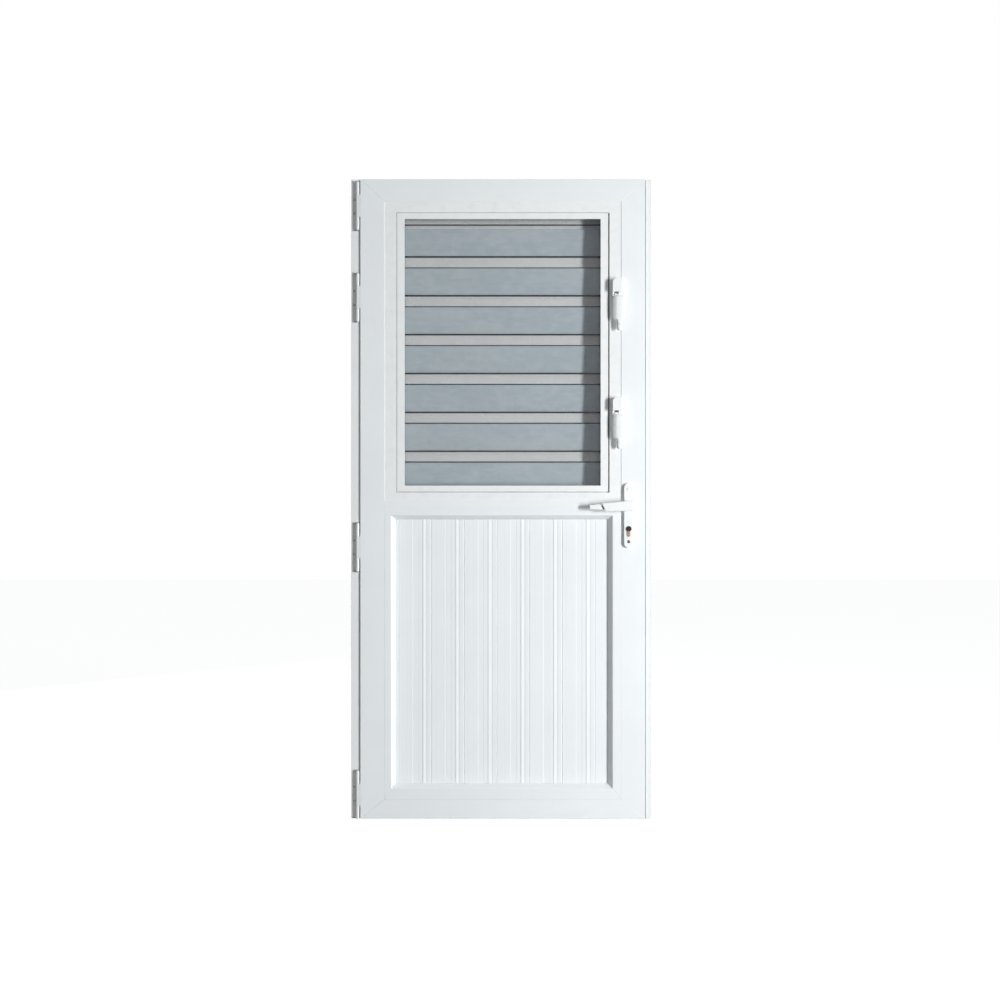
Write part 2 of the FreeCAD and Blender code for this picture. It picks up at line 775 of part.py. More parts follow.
def make_hinge_leaf_halves():
    """Middle knuckles, each with a plate on the leaf's edge."""
    halves = []
    for height in hinge_heights:
        half = "knuckle_middle / 2"
        span = ("%s - %s" % (height, half), "%s + %s" % (height, half))
        knuckle = rod("z", span[0], span[1], ("hinge_x", "hinge_y"), "knuckle_radius")
        plate = block(("leaf_left - hinge_leaf_thickness", "leaf_left"),
                      ("hinge_y - hinge_leaf_depth / 2", "hinge_y + hinge_leaf_depth / 2"), span)
        arm = block(("hinge_x", "leaf_left - hinge_leaf_thickness"),
                    ("hinge_y - knuckle_radius", "hinge_y"), span)
        bore = rod("z", span[0], span[1], ("hinge_x", "hinge_y"), "hinge_pin_radius + shaft_clearance")
        halves.append(cut(fuse(knuckle, plate, arm), bore))
    return node("hinge_leaf_halves", cut(together(*halves), *leaf_hinge_screws))


def make_hinge_pins():
    pins = []
    for height in hinge_heights:
        reach = "(knuckle_middle / 2 + knuckle_end)"
        low = "%s - %s" % (height, reach)
        high = "%s + %s" % (height, reach)
        spot = ("hinge_x", "hinge_y")
        pins.append(fuse(rod("z", low, high, spot, "hinge_pin_radius"),
                         rod("z", low + " - pin_cap", low, spot, "pin_cap_radius"),
                         rod("z", high, high + " + pin_cap", spot, "pin_cap_radius")))
    return node("hinge_pins", together(*pins))


# ---------------------------------------------------------------- leaf frame

def member_loops(edge, side, face):
    """Cross-section of a leaf member, from its outer edge inward, with three chambers."""
    into = inward(edge, side)
    outline = [
        (into("0"), "leaf_front"), (into(face), "leaf_front"), (into(face), "leg_front"),
        (into(face + " + leg_width"), "leg_front"), (into(face + " + leg_width"), "leaf_back"),
        (into("flange_width"), "leaf_back"), (into("flange_width"), "flange_back"),
        (into("0"), "flange_back"),
    ]
    back_inside = "leaf_back - profile_wall"
    front_chamber = rectangle((into("profile_wall"), into(face + " - profile_wall")),
                              ("leaf_front + profile_wall", "flange_back - profile_wall"))
    main_chamber = rectangle((into("flange_width + profile_wall"), into(face + " - profile_wall")),
                             ("flange_back", back_inside))
    leg_chamber = rectangle((into(face), into(face + " + leg_width - profile_wall")),
                            ("leg_front + profile_wall", back_inside))
    return [outline, front_chamber, main_chamber, leg_chamber]


def turned(loops):
    """Swap the two coordinates of every corner."""
    return [[(up, across) for across, up in loop] for loop in loops]


def corner_points(side_edge, side_line, side_leg, edge, line, leg):
    """The three corners of a mitre: outer edge, inner face line and upstand."""
    return [(side_edge, edge), (side_line, line), (side_leg, leg)]


def corners():
    left = ("leaf_left", "left_line", "leg_left")
    right = ("leaf_right", "right_line", "leg_right")
    top = ("leaf_top", "top_line", "leg_top")
    bottom = ("leaf_bottom", "bottom_line", "leg_bottom")
    return {
        "top_left": corner_points(*left, *top),
        "top_right": corner_points(*right, *top),
        "bottom_left": corner_points(*left, *bottom),
        "bottom_right": corner_points(*right, *bottom),
    }


def mitred(profile, first, last):
    """Keep the part of a profile between two mitres."""
    mitres = corners()
    outline = mitres[first] + mitres[last][::-1]
    return common(profile, prism("XZ", [outline], "leaf_front", "leaf_back"))


def make_stile(name, edge, side, first, last, tools):
    """A stile whose ends behind the flange stop level with the rails."""
    profile = prism("XY", member_loops(edge, side, "stile_face"), "leaf_bottom", "leaf_top")
    width = ("leaf_left", "leaf_right")
    depth = ("flange_back", "leaf_back")
    ends = [block(width, depth, ("leaf_bottom", "core_bottom")),
            block(width, depth, ("core_top", "leaf_top"))]
    return node(name, cut(mitred(profile, first, last), *(ends + tools)))


def make_rail(name, edge, side, face, first, last):
    profile = prism("YZ", turned(member_loops(edge, side, face)), "leaf_left", "leaf_right")
    return node(name, mitred(profile, first, last))


def make_mid_rail():
    """The rail between panel and window, with a thin lip that covers the window's sill."""
    lip_top = "mid_rail_top + cover_lip_height"
    lip_back = "strip_front"
    outline = [
        ("leaf_front", "mid_rail_under"), ("leaf_front", lip_top), (lip_back, lip_top),
        (lip_back, "mid_rail_top"), ("leaf_back", "mid_rail_top"), ("leaf_back", "mid_leg_under"),
        ("leg_front", "mid_leg_under"), ("leg_front", "mid_rail_under"),
    ]
    inside_top = "mid_rail_top - profile_wall"
    hollows = [
        rectangle(("leaf_front + profile_wall", "leg_front - profile_wall"),
                  ("mid_rail_under + profile_wall", inside_top)),
        rectangle(("leg_front + profile_wall", "leaf_back - profile_wall"),
                  ("mid_leg_under + profile_wall", inside_top)),
    ]
    profile = prism("YZ", [outline] + hollows, "left_line", "right_line")
    legs = ("leg_front", "leaf_back")
    height = ("mid_leg_under", "mid_rail_top")
    return node("leaf_mid_rail", cut(profile, block(("left_line", "leg_left"), legs, height),
                                     block(("leg_right", "right_line"), legs, height)))


def make_leaf_steels():
    """Tubes in the stiles. The right one stops short of the lock and goes on above it."""
    depth = ("leaf_back - profile_wall - leaf_steel_depth", "leaf_back - profile_wall")
    low = "leg_bottom + steel_end_gap"
    high = "leg_top - steel_end_gap"
    left_x = ("core_left + profile_wall", "core_left + profile_wall + leaf_steel_width")
    right_x = ("core_right - profile_wall - leaf_steel_width", "core_right - profile_wall")
    below = "backplate_bottom - steel_end_gap"
    above = "backplate_top + steel_end_gap"
    return node("leaf_steels", together(tube(left_x, depth, (low, high)),
                                        tube(right_x, depth, (low, below)),
                                        tube(right_x, depth, (above, high))))


def make_leaf_seal():
    """Four strips on the back of the leaf's flange, just clear of the frame."""
    depth = ("flange_back", "frame_front - seal_clearance")
    left = ("leaf_left + seal_inset", "leaf_left + seal_inset + seal_width")
    right = ("leaf_right - seal_inset - seal_width", "leaf_right - seal_inset")
    upright = ("leaf_bottom + seal_inset", "leaf_top - seal_inset")
    lie = (left[1], right[0])
    return node("leaf_seal", together(
        block(left, depth, upright), block(right, depth, upright),
        block(lie, depth, ("leaf_top - seal_inset - seal_width", "leaf_top - seal_inset")),
        block(lie, depth, ("leaf_bottom + seal_inset", "leaf_bottom + seal_inset + seal_width"))))


# ---------------------------------------------------------------- panel and beads

def bead_loop(line, side, flat):
    """A bead's cross-section: a flat against the line, then a slope down to the panel."""
    into = inward(line, side)
    width = flat + " + bead_slope"
    return [(into("0"), "leaf_front"), (into(flat), "leaf_front"),
            (into(width), "bead_back - bead_lip"), (into(width), "bead_back"),
            (into("0"), "bead_back")]


def make_beads():
    """Four beads: the side ones meet the bottom one on a mitre and the top one square."""
    top = prism("YZ", turned([bead_loop("mid_rail_under", "-", "bead_flat")]), "left_line",
                "right_line")
    node("bead_top", top)
    mitres = {}
    for line, side, flat in (("left_line", "+", "bead_flat"), ("right_line", "-", "right_bead_flat")):
        into = inward(line, side)
        mitres[line] = [(line, "bottom_line"), (into(flat), "bottom_line + bottom_bead_flat"),
                        (into(flat + " + bead_slope"), "bottom_line + bottom_bead_flat + bead_slope")]
    bottom = prism("YZ", turned([bead_loop("bottom_line", "+", "bottom_bead_flat")]), "left_line",
                   "right_line")
    outline = prism("XZ", [mitres["left_line"] + mitres["right_line"][::-1]], "leaf_front",
                    "bead_back")
    node("bead_bottom", common(bottom, outline))
    sides = []
    for line, side, flat in (("left_line", "+", "bead_flat"), ("right_line", "-", "right_bead_flat")):
        profile = prism("XY", [bead_loop(line, side, flat)], "bottom_line", "mid_rail_under")
        corner = mitres[line]
        mitre = prism("XZ", [corner + [(corner[2][0], "mid_rail_under"), (line, "mid_rail_under")]],
                      "leaf_front", "bead_back")
        sides.append(cut(common(profile, mitre), top))
    node("side_beads", together(*sides))


def plank_loops(joint):
    """A hollow plank from its left joint to the next, ribbed in front, tongued on its right."""
    def across(distance):
        return "%s + (%s)" % (joint, distance)

    def deep(distance):
        return "panel_front + (%s)" % distance

    front = [
        ("0", "vee_depth"), ("vee_half", "0"), ("plank_flat", "0"),
        ("plank_flat + plank_step", "plank_step"), ("vee_at - vee_half", "plank_step"),
        ("vee_at", "plank_step + vee_depth - vee_half"), ("vee_at + vee_half", "plank_step / 2"),
        ("rib_at - rib_width / 2", "plank_step / 2"),
        ("rib_at - rib_width / 2 + rib_height", "-rib_height"),
        ("rib_at + rib_width / 2 - rib_height", "-rib_height"),
        ("rib_at + rib_width / 2", "0"), ("dip_at - dip_half", "0"), ("dip_at", "dip_depth"),
        ("dip_at + dip_half", "0"), ("plank_pitch - vee_half", "0"), ("plank_pitch", "vee_depth"),
    ]
    tongue = [
        ("plank_pitch", "tongue_depth"), ("plank_pitch + tongue_length", "tongue_depth"),
        ("plank_pitch + tongue_length", "tongue_depth + tongue_thickness"),
        ("plank_pitch", "tongue_depth + tongue_thickness"),
    ]
    back = [("plank_pitch", "panel_thickness"), ("0", "panel_thickness")]
    groove = [
        ("0", "tongue_depth + tongue_thickness + tongue_clearance"),
        ("tongue_length + tongue_clearance", "tongue_depth + tongue_thickness + tongue_clearance"),
        ("tongue_length + tongue_clearance", "tongue_depth - tongue_clearance"),
        ("0", "tongue_depth - tongue_clearance"),
    ]
    loops = [[(across(u), deep(v)) for u, v in front + tongue + back + groove]]
    start = "tongue_length + tongue_clearance + plank_wall"
    width = "(plank_pitch - tongue_length - tongue_clearance - 4 * plank_wall) / 3"
    for number in range(3):
        low = "%s + %d * (%s + plank_wall)" % (start, number, width)
        loops.append(rectangle((across(low), across("%s + %s" % (low, width))),
                               (deep("plank_skin"), deep("panel_thickness - plank_wall"))))
    return loops


def sliver_loops():
    """The ripped first plank, from the left stile to the first joint."""
    joint = "left_line + first_joint"
    tongue_end = joint + " + tongue_length"
    tongue_front = "panel_front + tongue_depth"
    return [[
        ("left_line + panel_clearance", "panel_front"), (joint + " - vee_half", "panel_front"),
        (joint, "panel_front + vee_depth"), (joint, tongue_front), (tongue_end, tongue_front),
        (tongue_end, tongue_front + " + tongue_thickness"), (joint, tongue_front + " + tongue_thickness"),
        (joint, "leg_front"), ("left_line + panel_clearance", "leg_front"),
    ], rectangle(("left_line + panel_clearance + plank_wall", joint + " - plank_wall"),
                 ("panel_front + plank_skin", "leg_front - plank_wall"))]


def make_planks():
    panel_width = SIZES["set_width"] - SIZES["reveal_left"] - SIZES["reveal_right"] - 2 * SIZES["stile_face"]
    room = panel_width - SIZES["first_joint"] - SIZES["panel_clearance"]
    whole = int(room / SIZES["plank_pitch"])
    planks = [prism("XY", sliver_loops(), "plank_bottom", "plank_top")]
    for number in range(whole + 1):
        joint = "left_line + first_joint + %d * plank_pitch" % number
        planks.append(prism("XY", plank_loops(joint), "plank_bottom", "plank_top"))
    limit = block(("left_line", "right_line - panel_clearance"),
                  ("leaf_front", "leg_front"), ("plank_bottom", "plank_top"))
    planks[-1] = common(planks[-1], limit)
    return node("panel_planks", together(*planks))


# ---------------------------------------------------------------- louvre window

pivots = ["(pivot_first - %d * blade_pitch)" % number for number in range(BLADES)]
operator_axes = ["(%s + operator_above_pivot)" % pivots[UPPER_BLADES - 1],
                 "(%s + operator_above_pivot)" % pivots[BLADES - 2]]


def make_side_channel(name, line, strip, web_outer, web, side):
    """A side of the surround: visible strip, web for the pivots, screen seat and rear trim."""
    def span(start, end):
        return (start, end) if side == "+" else (end, start)

    height = ("mid_rail_top", "channel_top")
    parts = [
        block(span(line, strip), ("strip_front", "strip_back"), ("mid_rail_top", "top_line")),
        block(span(web_outer, web), ("strip_back", "channel_back"), height),
        block(span(web, "%s %s screen_seat" % (web, side)),
              ("screen_back", "screen_back + screen_seat_thickness"), ("mid_rail_top", "strip_top")),
        block(span("%s %s (-channel_trim)" % (web_outer, side), web_outer),
              ("channel_back - channel_trim_thickness", "channel_back"), height),
    ]
    low, high = span(web_outer, web)
    tools = [rod("x", low, high, ("pivot_y", pivot), "pivot_radius + shaft_clearance")
             for pivot in pivots]
    if side == "-":
        tools = tools + operator_clearances()
    return node(name, cut(fuse(*parts), *tools))


def operator_clearances():
    """Ways through the right channel for each lever's arm, drive pin and tie bar lug."""
    ways = []
    for axis in operator_axes:
        arm_half = "(strip_back - lever_y) * tan(lever_rise) + lever_arm_width"
        ways.append(block(("arm_left - ear_clearance", "arm_right + ear_clearance"),
                          ("strip_front", "strip_back"),
                          ("%s - (%s)" % (axis, arm_half), "%s + (%s)" % (axis, arm_half))))
        pin_half = "crank_lift + drive_pin_radius * 2"
        ways.append(block(("web_right", "web_right_outer"),
                          ("drive_y - drive_pin_radius * 2", "lever_y + lever_arm + drive_pin_radius * 2"),
                          ("%s - (%s)" % (axis, pin_half), "%s + (%s)" % (axis, pin_half))))
        lug_half = "crank_lift + lug_height"
        ways.append(block(("web_right - screen_seat", "web_right"),
                          ("screen_back", "screen_back + screen_seat_thickness"),
                          ("%s - (%s)" % (axis, lug_half), "%s + (%s)" % (axis, lug_half))))
    return ways


def make_louvre_head():
    """Top of the surround, with a strip that overlaps the first blade on the weather side."""
    clear = "blade_thickness / 2 + weather_strip_gap"
    strip_y = "pivot_y + " + clear
    width = ("web_left", "web_right")
    parts = [
        block(("strip_left", "strip_right"), ("strip_front", "strip_back"), ("strip_top", "top_line")),
        block(width, ("strip_back", "channel_back"), ("strip_top", "channel_top")),
        block(width, (strip_y, strip_y + " + strip_thickness"),
              ("pivot_first + " + clear, "strip_top")),
    ]
    return node("louvre_head", fuse(*parts))


def make_louvre_sill():
    """Bottom of the surround: strip, plate with an upstand, and a nose that sheds water."""
    plate_top = "mid_rail_top + sill_plate"
    width = ("web_left", "web_right")
    nose = [("leaf_back", "mid_rail_top"), ("leaf_back", plate_top), ("channel_back", "mid_rail_top"),
            ("channel_back", "mid_rail_top - sill_plate")]
    parts = [
        block(("strip_left", "strip_right"), ("strip_front", "strip_back"),
              ("mid_rail_top", "strip_bottom")),
        block(width, ("strip_back", "leaf_back"), ("mid_rail_top", plate_top)),
        block(("web_left + screen_seat", "web_right - screen_seat"),
              ("screen_back", "screen_back + screen_seat_thickness"),
              ("mid_rail_top", "mid_rail_top + sill_upstand")),
        prism("YZ", [nose], *width),
    ]
    seats = [
        block(("web_left", "web_left + screen_seat"), ("screen_back", "screen_back + screen_seat_thickness"),
              ("mid_rail_top", plate_top)),
        block(("web_right - screen_seat", "web_right"),
              ("screen_back", "screen_back + screen_seat_thickness"),
              ("mid_rail_top", plate_top)),
    ]
    return node("louvre_sill", cut(fuse(*parts), *seats))


def make_blades():
    """Seven identical glass blades, each with two end clips. Their shapes are made once, upright
    about the pivot, and put in place with the closed tilt."""
    below = "blade_pivot_drop - blade_height"
    half = "blade_thickness / 2"
    glass = block(("glass_left", "glass_right"), ("-" + half, half), (below, "blade_pivot_drop"))
    clip_y = ("-%s - clip_wall" % half, "%s + clip_wall" % half)
    clip_z = (below + " + clip_foot", "blade_pivot_drop - clip_end")
    centre = ("0", "0")
    left = fuse(
        block(("glass_left - clip_left_body", "glass_left + clip_hold"), clip_y, clip_z),
        rod("x", "web_left_outer", "glass_left - clip_left_body", centre, "pivot_radius"),
        rod("x", "web_left + channel_clearance", "glass_left - clip_left_body", centre, "boss_radius"))
    angle = "(180 - crank_rise - blade_tilt)"
    pin = ("crank_reach * cos%s" % angle, "crank_reach * sin%s" % angle)
    right = fuse(
        block(("glass_right - clip_hold", "crank_left"), clip_y, clip_z),
        rod("x", "crank_left", "web_right_outer", centre, "pivot_radius"),
        rod("x", "crank_left", "crank_right", centre, "boss_radius"),
        link(("crank_left", "crank_right"), "0", "0", "crank_reach", "crank_width", angle),
        rod("x", "crank_left", "crank_right", pin, "crank_width / 2"),
        rod("x", "crank_left", "bar_right", pin, "crank_pin_radius"))
    clips = (cut(left, glass), cut(right, glass))
    for number, pivot in enumerate(pivots, start=1):
        for name, shapes in (("glass", [glass]), ("clips", clips)):
            piece = together(*shapes)
            piece.Placement = FreeCAD.Placement(FreeCAD.Vector(),
                                                FreeCAD.Rotation(FreeCAD.Vector(1, 0, 0), 1))
            bind(piece, "Placement.Rotation.Angle", "blade_tilt")
            put(piece, "0", "pivot_y", pivot)
            node("blade_%d_%s" % (number, name), piece)


def make_tie_bar(name, group, axis):
    """A flat bar over the crank pins of a group of blades, slotted for the lever's drive pin."""
    width = ("bar_left", "bar_right")
    pin_heights = ["(%s + crank_lift)" % pivot for pivot in group]
    drive = "(%s + crank_lift)" % axis
    slot_end = "bar_y + (lever_y + lever_arm) - (pivot_y - crank_reach) + drive_pin_radius + slot_clearance"
    slot_start = "drive_y - drive_pin_radius - slot_clearance"
    bar = block(width, ("bar_y - bar_width / 2", "bar_y + bar_width / 2"),
                ("%s - bar_end" % pin_heights[-1], "%s + bar_end" % pin_heights[0]))
    lug = block(width, (slot_start + " - lug_wall", "bar_y + bar_width / 2"),
                ("%s - lug_height / 2" % drive, "%s + lug_height / 2" % drive))
    slot = block(width, (slot_start, slot_end),
                 ("%s - drive_pin_radius - slot_clearance" % drive,
                  "%s + drive_pin_radius + slot_clearance" % drive))
    holes = [rod("x", "bar_left", "bar_right", ("bar_y", height), "crank_pin_radius + linkage_clearance")
             for height in pin_heights]
    return node(name, cut(fuse(bar, lug), slot, *holes))


def make_operator_bases():
    """Two bases on the right strip, each a block with two ears and the lever's pin."""
    bases = []
    for axis in operator_axes:
        low = "%s + operator_gap" % axis
        high = "%s + operator_height" % low
        outline = [("operator_left", low), ("operator_right", low), ("operator_right", high),
                   ("operator_left + operator_chamfer", high),
                   ("operator_left", high + " - operator_chamfer")]
        parts = [prism("XZ", [outline], "operator_front", "strip_front")]
        for start in ("operator_left", "operator_left + ear_pitch"):
            span = (start, start + " + ear_thickness")
            parts.append(block(span, ("lever_y - ear_radius", "strip_front"), (axis, low)))
            parts.append(rod("x", span[0], span[1], ("lever_y", axis), "ear_radius"))
        parts.append(rod("x", "operator_left", "operator_left + ear_pitch + ear_thickness",
                         ("lever_y", axis), "lever_pin_radius"))
        bases.append(fuse(*parts))
    return node("operator_bases", together(*bases))


def make_lever(name, axis):
    """A hand lever: plate with a narrow tip, hub on the pin, inner arm and drive pin."""
    half = "lever_width / 2"
    tip_half = "lever_tip_width / 2"
    plate_y = ("operator_front", "operator_front + lever_plate")
    hub = ("hub_left", "hub_right")
    drive = ("drive_y", "%s + crank_lift" % axis)
    parts = [
        block(("lever_middle - " + half, "lever_middle + " + half), plate_y,
              ("%s - lever_length" % axis, axis)),
        block(("lever_middle - " + tip_half, "lever_middle + " + tip_half), plate_y,
              ("%s - lever_length - lever_tip" % axis, "%s - lever_length" % axis)),
        rod("x", hub[0], hub[1], ("lever_y", axis), "lever_hub_radius"),
        block(hub, (plate_y[1], "lever_y"), ("%s - lever_hub_radius" % axis, axis)),
        link(("arm_left", "arm_right"), "lever_y", axis, "lever_arm", "lever_arm_width", "lever_rise"),
        rod("x", "arm_left", "arm_right", drive, "lever_arm_width / 2"),
        rod("x", "bar_left - bar_gap / 2", "arm_left", drive, "drive_pin_radius"),
    ]
    bore = rod("x", hub[0], hub[1], ("lever_y", axis), "lever_pin_radius + shaft_clearance")
    return node(name, cut(fuse(*parts), bore))


# ---------------------------------------------------------------- fly screen

def ring(x, z, bars, y):
    """A rectangular ring: outside box less the opening inside its bars."""
    side, cross = bars
    hole_x = ("%s + %s" % (x[0], side), "%s - %s" % (x[1], side))
    hole_z = ("%s + %s" % (z[0], cross), "%s - %s" % (z[1], cross))
    return cut(block(x, y, z), block(hole_x, y, hole_z))


def make_screen():
    """A frame with a rebate in its back that holds the mesh and the spline round its edge."""
    outer_x = ("screen_left", "screen_right")
    outer_z = ("screen_bottom", "screen_top")
    lip_side = "(screen_side_bar - screen_rebate)"
    lip_cross = "(screen_cross_bar - screen_rebate)"
    rebate_x = ("screen_left + " + lip_side, "screen_right - " + lip_side)
    rebate_z = ("screen_bottom + " + lip_cross, "screen_top - " + lip_cross)
    frame = ring(outer_x, outer_z, ("screen_side_bar", "screen_cross_bar"), ("strip_front", "screen_back"))
    node("screen_frame", cut(frame, block(rebate_x, ("mesh_front", "screen_back"), rebate_z)))
    node("screen_mesh", block(rebate_x, ("mesh_front", "mesh_back"), rebate_z))
    node("screen_spline", ring(rebate_x, rebate_z, ("spline_width", "spline_width"),
                               ("mesh_back", "mesh_back + spline_depth")))


# ---------------------------------------------------------------- lock and handles

def cylinder_outline(start, end):
    """The Euro profile along Y: a round head over a narrow rounded foot."""
    foot = "cylinder_height + cylinder_radius - cylinder_size + cylinder_foot_radius"
    return fuse(
        rod("y", start, end, ("handle_x", "cylinder_height"), "cylinder_radius"),
        block(("handle_x - cylinder_foot_radius", "handle_x + cylinder_foot_radius"), (start, end),
              (foot, "cylinder_height")),
        rod("y", start, end, ("handle_x", foot), "cylinder_foot_radius"))


def spindle_bore():
    return rod("y", "inner_plate_front", "outer_plate_back", ("handle_x", "handle_height"),
               "spindle_bore")


def make_lock_case():
    half = "case_depth / 2"
    height = ("case_bottom", "case_top")
    shell = cut(
        block(("case_left", "core_right"), ("lock_y - " + half, "lock_y + " + half), height),
        block(("case_left + case_wall", "core_right - case_wall"),
              ("lock_y - %s + case_wall" % half, "lock_y + %s - case_wall" % half),
              ("case_bottom + case_wall", "case_top - case_wall")))
    return node("lock_case", cut(shell, cylinder_outline("cylinder_front", "cylinder_back"),
                                 spindle_bore(), bolt_path("core_right - case_wall", "core_right")))


def lock_pocket():
    """Opening in the stile's edge for the lock case."""
    half = "case_depth / 2"
    return block(("core_right - profile_wall", "core_right"), ("lock_y - " + half, "lock_y + " + half),
                 ("case_bottom", "case_top"))


def make_lock_faceplate():
    half = "faceplate_width / 2"
    plate = block(("core_right", "faceplate_right"), ("lock_y - " + half, "lock_y + " + half),
                  ("faceplate_bottom", "faceplate_bottom + faceplate_height"))
    return node("lock_faceplate", cut(plate, bolt_path("core_right", "faceplate_right"),
                                      *faceplate_screws))


def make_latch_bolt():
    """A latch that stands out of the faceplate, bevelled on the side that meets the strike."""
    nose = "latch_left + latch_body"
    outline = [("latch_left", "bolt_front"), (nose, "bolt_front"),
               (nose, "bolt_back - latch_bevel"), (nose + " - latch_bevel", "bolt_back"),
               ("latch_left", "bolt_back")]
    return node("latch_bolt", prism("XY", [outline], "handle_height - latch_height / 2",
                                    "handle_height + latch_height / 2"))


def make_deadbolt():
    return node("deadbolt", block(("faceplate_right - deadbolt_length", "faceplate_right"),
                                  ("bolt_front", "bolt_back"),
                                  ("deadbolt_middle - deadbolt_height / 2",
                                   "deadbolt_middle + deadbolt_height / 2")))


def make_cylinder():
    """Cylinder body with a gap for the cam, and the plug that turns in it."""
    span = ("cylinder_front", "cylinder_back")
    spot = ("handle_x", "cylinder_height")
    gap = block(("handle_x - cylinder_radius", "handle_x + cylinder_radius"),
                ("lock_y - cam_thickness / 2 - cam_clearance", "lock_y + cam_thickness / 2 + cam_clearance"),
                ("cylinder_height - cam_reach - 2 * cam_clearance", "cylinder_height + cylinder_radius"))
    bore = rod("y", span[0], span[1], spot, "plug_radius + shaft_clearance")
    node("lock_cylinder", cut(cylinder_outline(*span), gap, bore))
    cam = block(("handle_x - cam_width / 2", "handle_x + cam_width / 2"),
                ("lock_y - cam_thickness / 2", "lock_y + cam_thickness / 2"),
                ("cylinder_height - cam_reach", "cylinder_height"))
    slot = block(("handle_x - key_slot / 2", "handle_x + key_slot / 2"),
                 ("cylinder_front", "cylinder_front + key_slot_depth"),
                 ("cylinder_height - key_slot_half", "cylinder_height + key_slot_half"))
    node("cylinder_plug", cut(fuse(rod("y", span[0], span[1], spot, "plug_radius"), cam), slot))


def make_backplate(name, y):
    radius = "backplate_width / 2"
    low = "backplate_bottom + " + radius
    high = "backplate_top - " + radius
    plate = fuse(block(("handle_x - " + radius, "handle_x + " + radius), y, (low, high)),
                 rod("y", y[0], y[1], ("handle_x", low), radius),
                 rod("y", y[0], y[1], ("handle_x", high), radius))
    return node(name, cut(plate, cylinder_outline("cylinder_front", "cylinder_back"), spindle_bore(),
                          *handle_screws))


def make_handle(name, face, side):
    """A lever on a round neck. face is the plate it stands on, side the way it stands out."""
    def out(distance):
        return "%s %s (%s)" % (face, side, distance)

    def span(near, far):
        return (out(near), out(far)) if side == "+" else (out(far), out(near))

    neck = span("neck_gap", "grip_standoff + grip_thickness / 2")
    grip = span("grip_standoff", "grip_standoff + grip_thickness")
    tip = span("grip_standoff - grip_tip_setback / 2",
               "grip_standoff + grip_thickness - grip_tip_setback")
    spot = ("handle_x", "handle_height")
    end = "handle_x - grip_length"
    outline = [
        ("handle_x + grip_heel", "handle_height - grip_height / 2"),
        ("handle_x + grip_heel", "handle_height + grip_height / 2"),
        (end, "handle_height + grip_end_rise"), (end, "handle_height - grip_end_fall"),
    ]
    parts = [
        rod("y", neck[0], neck[1], spot, "neck_radius"),
        prism("XZ", [outline], *grip),
        block(("%s - grip_tip" % end, end), tip,
              ("handle_height - grip_tip_fall", "handle_height - grip_tip_fall + grip_tip_height")),
    ]
    return node(name, cut(fuse(*parts), make_spindle_solid()))


def make_spindle_solid():
    half = "spindle_size / 2"
    return block(("handle_x - " + half, "handle_x + " + half),
                 ("inner_plate_front - grip_standoff", "outer_plate_back + grip_standoff"),
                 ("handle_height - " + half, "handle_height + " + half))


# ---------------------------------------------------------------- build

make_jamb("frame_left_jamb", "frame_left", "jamb_left", "+")
make_jamb("frame_right_jamb", "frame_right", "jamb_right", "-")
make_head()
make_threshold()
make_frame_steels()
make_frame_seal()
make_strike_plate()
make_hinge_frame_halves()
make_hinge_pins()
node("frame_screws", together(*(frame_hinge_screws + corner_screws + strike_screws)))

make_stile("leaf_left_stile", "leaf_left", "+", "bottom_left", "top_left", leaf_hinge_screws)
make_stile("leaf_right_stile", "leaf_right", "-", "bottom_right", "top_right",
           handle_screws + faceplate_screws
           + [lock_pocket(), spindle_bore(), cylinder_outline("cylinder_front", "cylinder_back")])
make_rail("leaf_top_rail", "leaf_top", "-", "top_rail_face", "top_left", "top_right")
make_rail("leaf_bottom_rail", "leaf_bottom", "+", "bottom_rail_face", "bottom_left", "bottom_right")
make_mid_rail()
make_leaf_steels()
make_leaf_seal()
make_beads()
make_planks()
make_side_channel("louvre_left_channel", "left_line", "strip_left", "web_left_outer", "web_left", "+")
make_side_channel("louvre_right_channel", "right_line", "strip_right", "web_right_outer", "web_right",
                  "-")
make_louvre_head()
make_louvre_sill()
make_operator_bases()
make_screen()
make_hinge_leaf_halves()
make_lock_case()
make_lock_faceplate()
make_cylinder()
make_backplate("inner_backplate", ("inner_plate_front", "leaf_front"))
make_backplate("outer_backplate", ("leaf_back", "outer_plate_back"))
node("leaf_screws", together(*(leaf_hinge_screws + faceplate_screws + handle_screws)))

make_handle("inner_lever", "inner_plate_front", "-")
make_handle("outer_lever", "outer_plate_back", "+")
node("spindle", make_spindle_solid())
make_latch_bolt()
make_deadbolt()
make_blades()
make_tie_bar("upper_tie_bar", pivots[:UPPER_BLADES], operator_axes[0])
make_tie_bar("lower_tie_bar", pivots[UPPER_BLADES:], operator_axes[1])
make_lever("upper_lever", operator_axes[0])
make_lever("lower_lever", operator_axes[1])


# ---------------------------------------------------------------- checks and files

doc.recompute()
for thing in doc.Objects:
    if "Invalid" in thing.State or "Error" in thing.State:
        raise RuntimeError("%s (%s) did not compute: %s" % (thing.Name, thing.Label, thing.State))
for thing in nodes:
    if thing.Shape.isNull() or not thing.Shape.isValid() or not thing.Shape.Solids:
        raise RuntimeError("%s has no valid solid" % thing.Label)

os.makedirs("parts", exist_ok=True)
for thing in nodes:
    thing.Shape.exportStep(os.path.join("parts", thing.Label + ".step"))
print("%d sub-parts, %d solids" % (len(nodes), sum(len(thing.Shape.Solids) for thing in nodes)))
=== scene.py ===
"""Dresses the louvred service door: materials, rounded edges, the fine pieces, light and camera."""

import json
import math

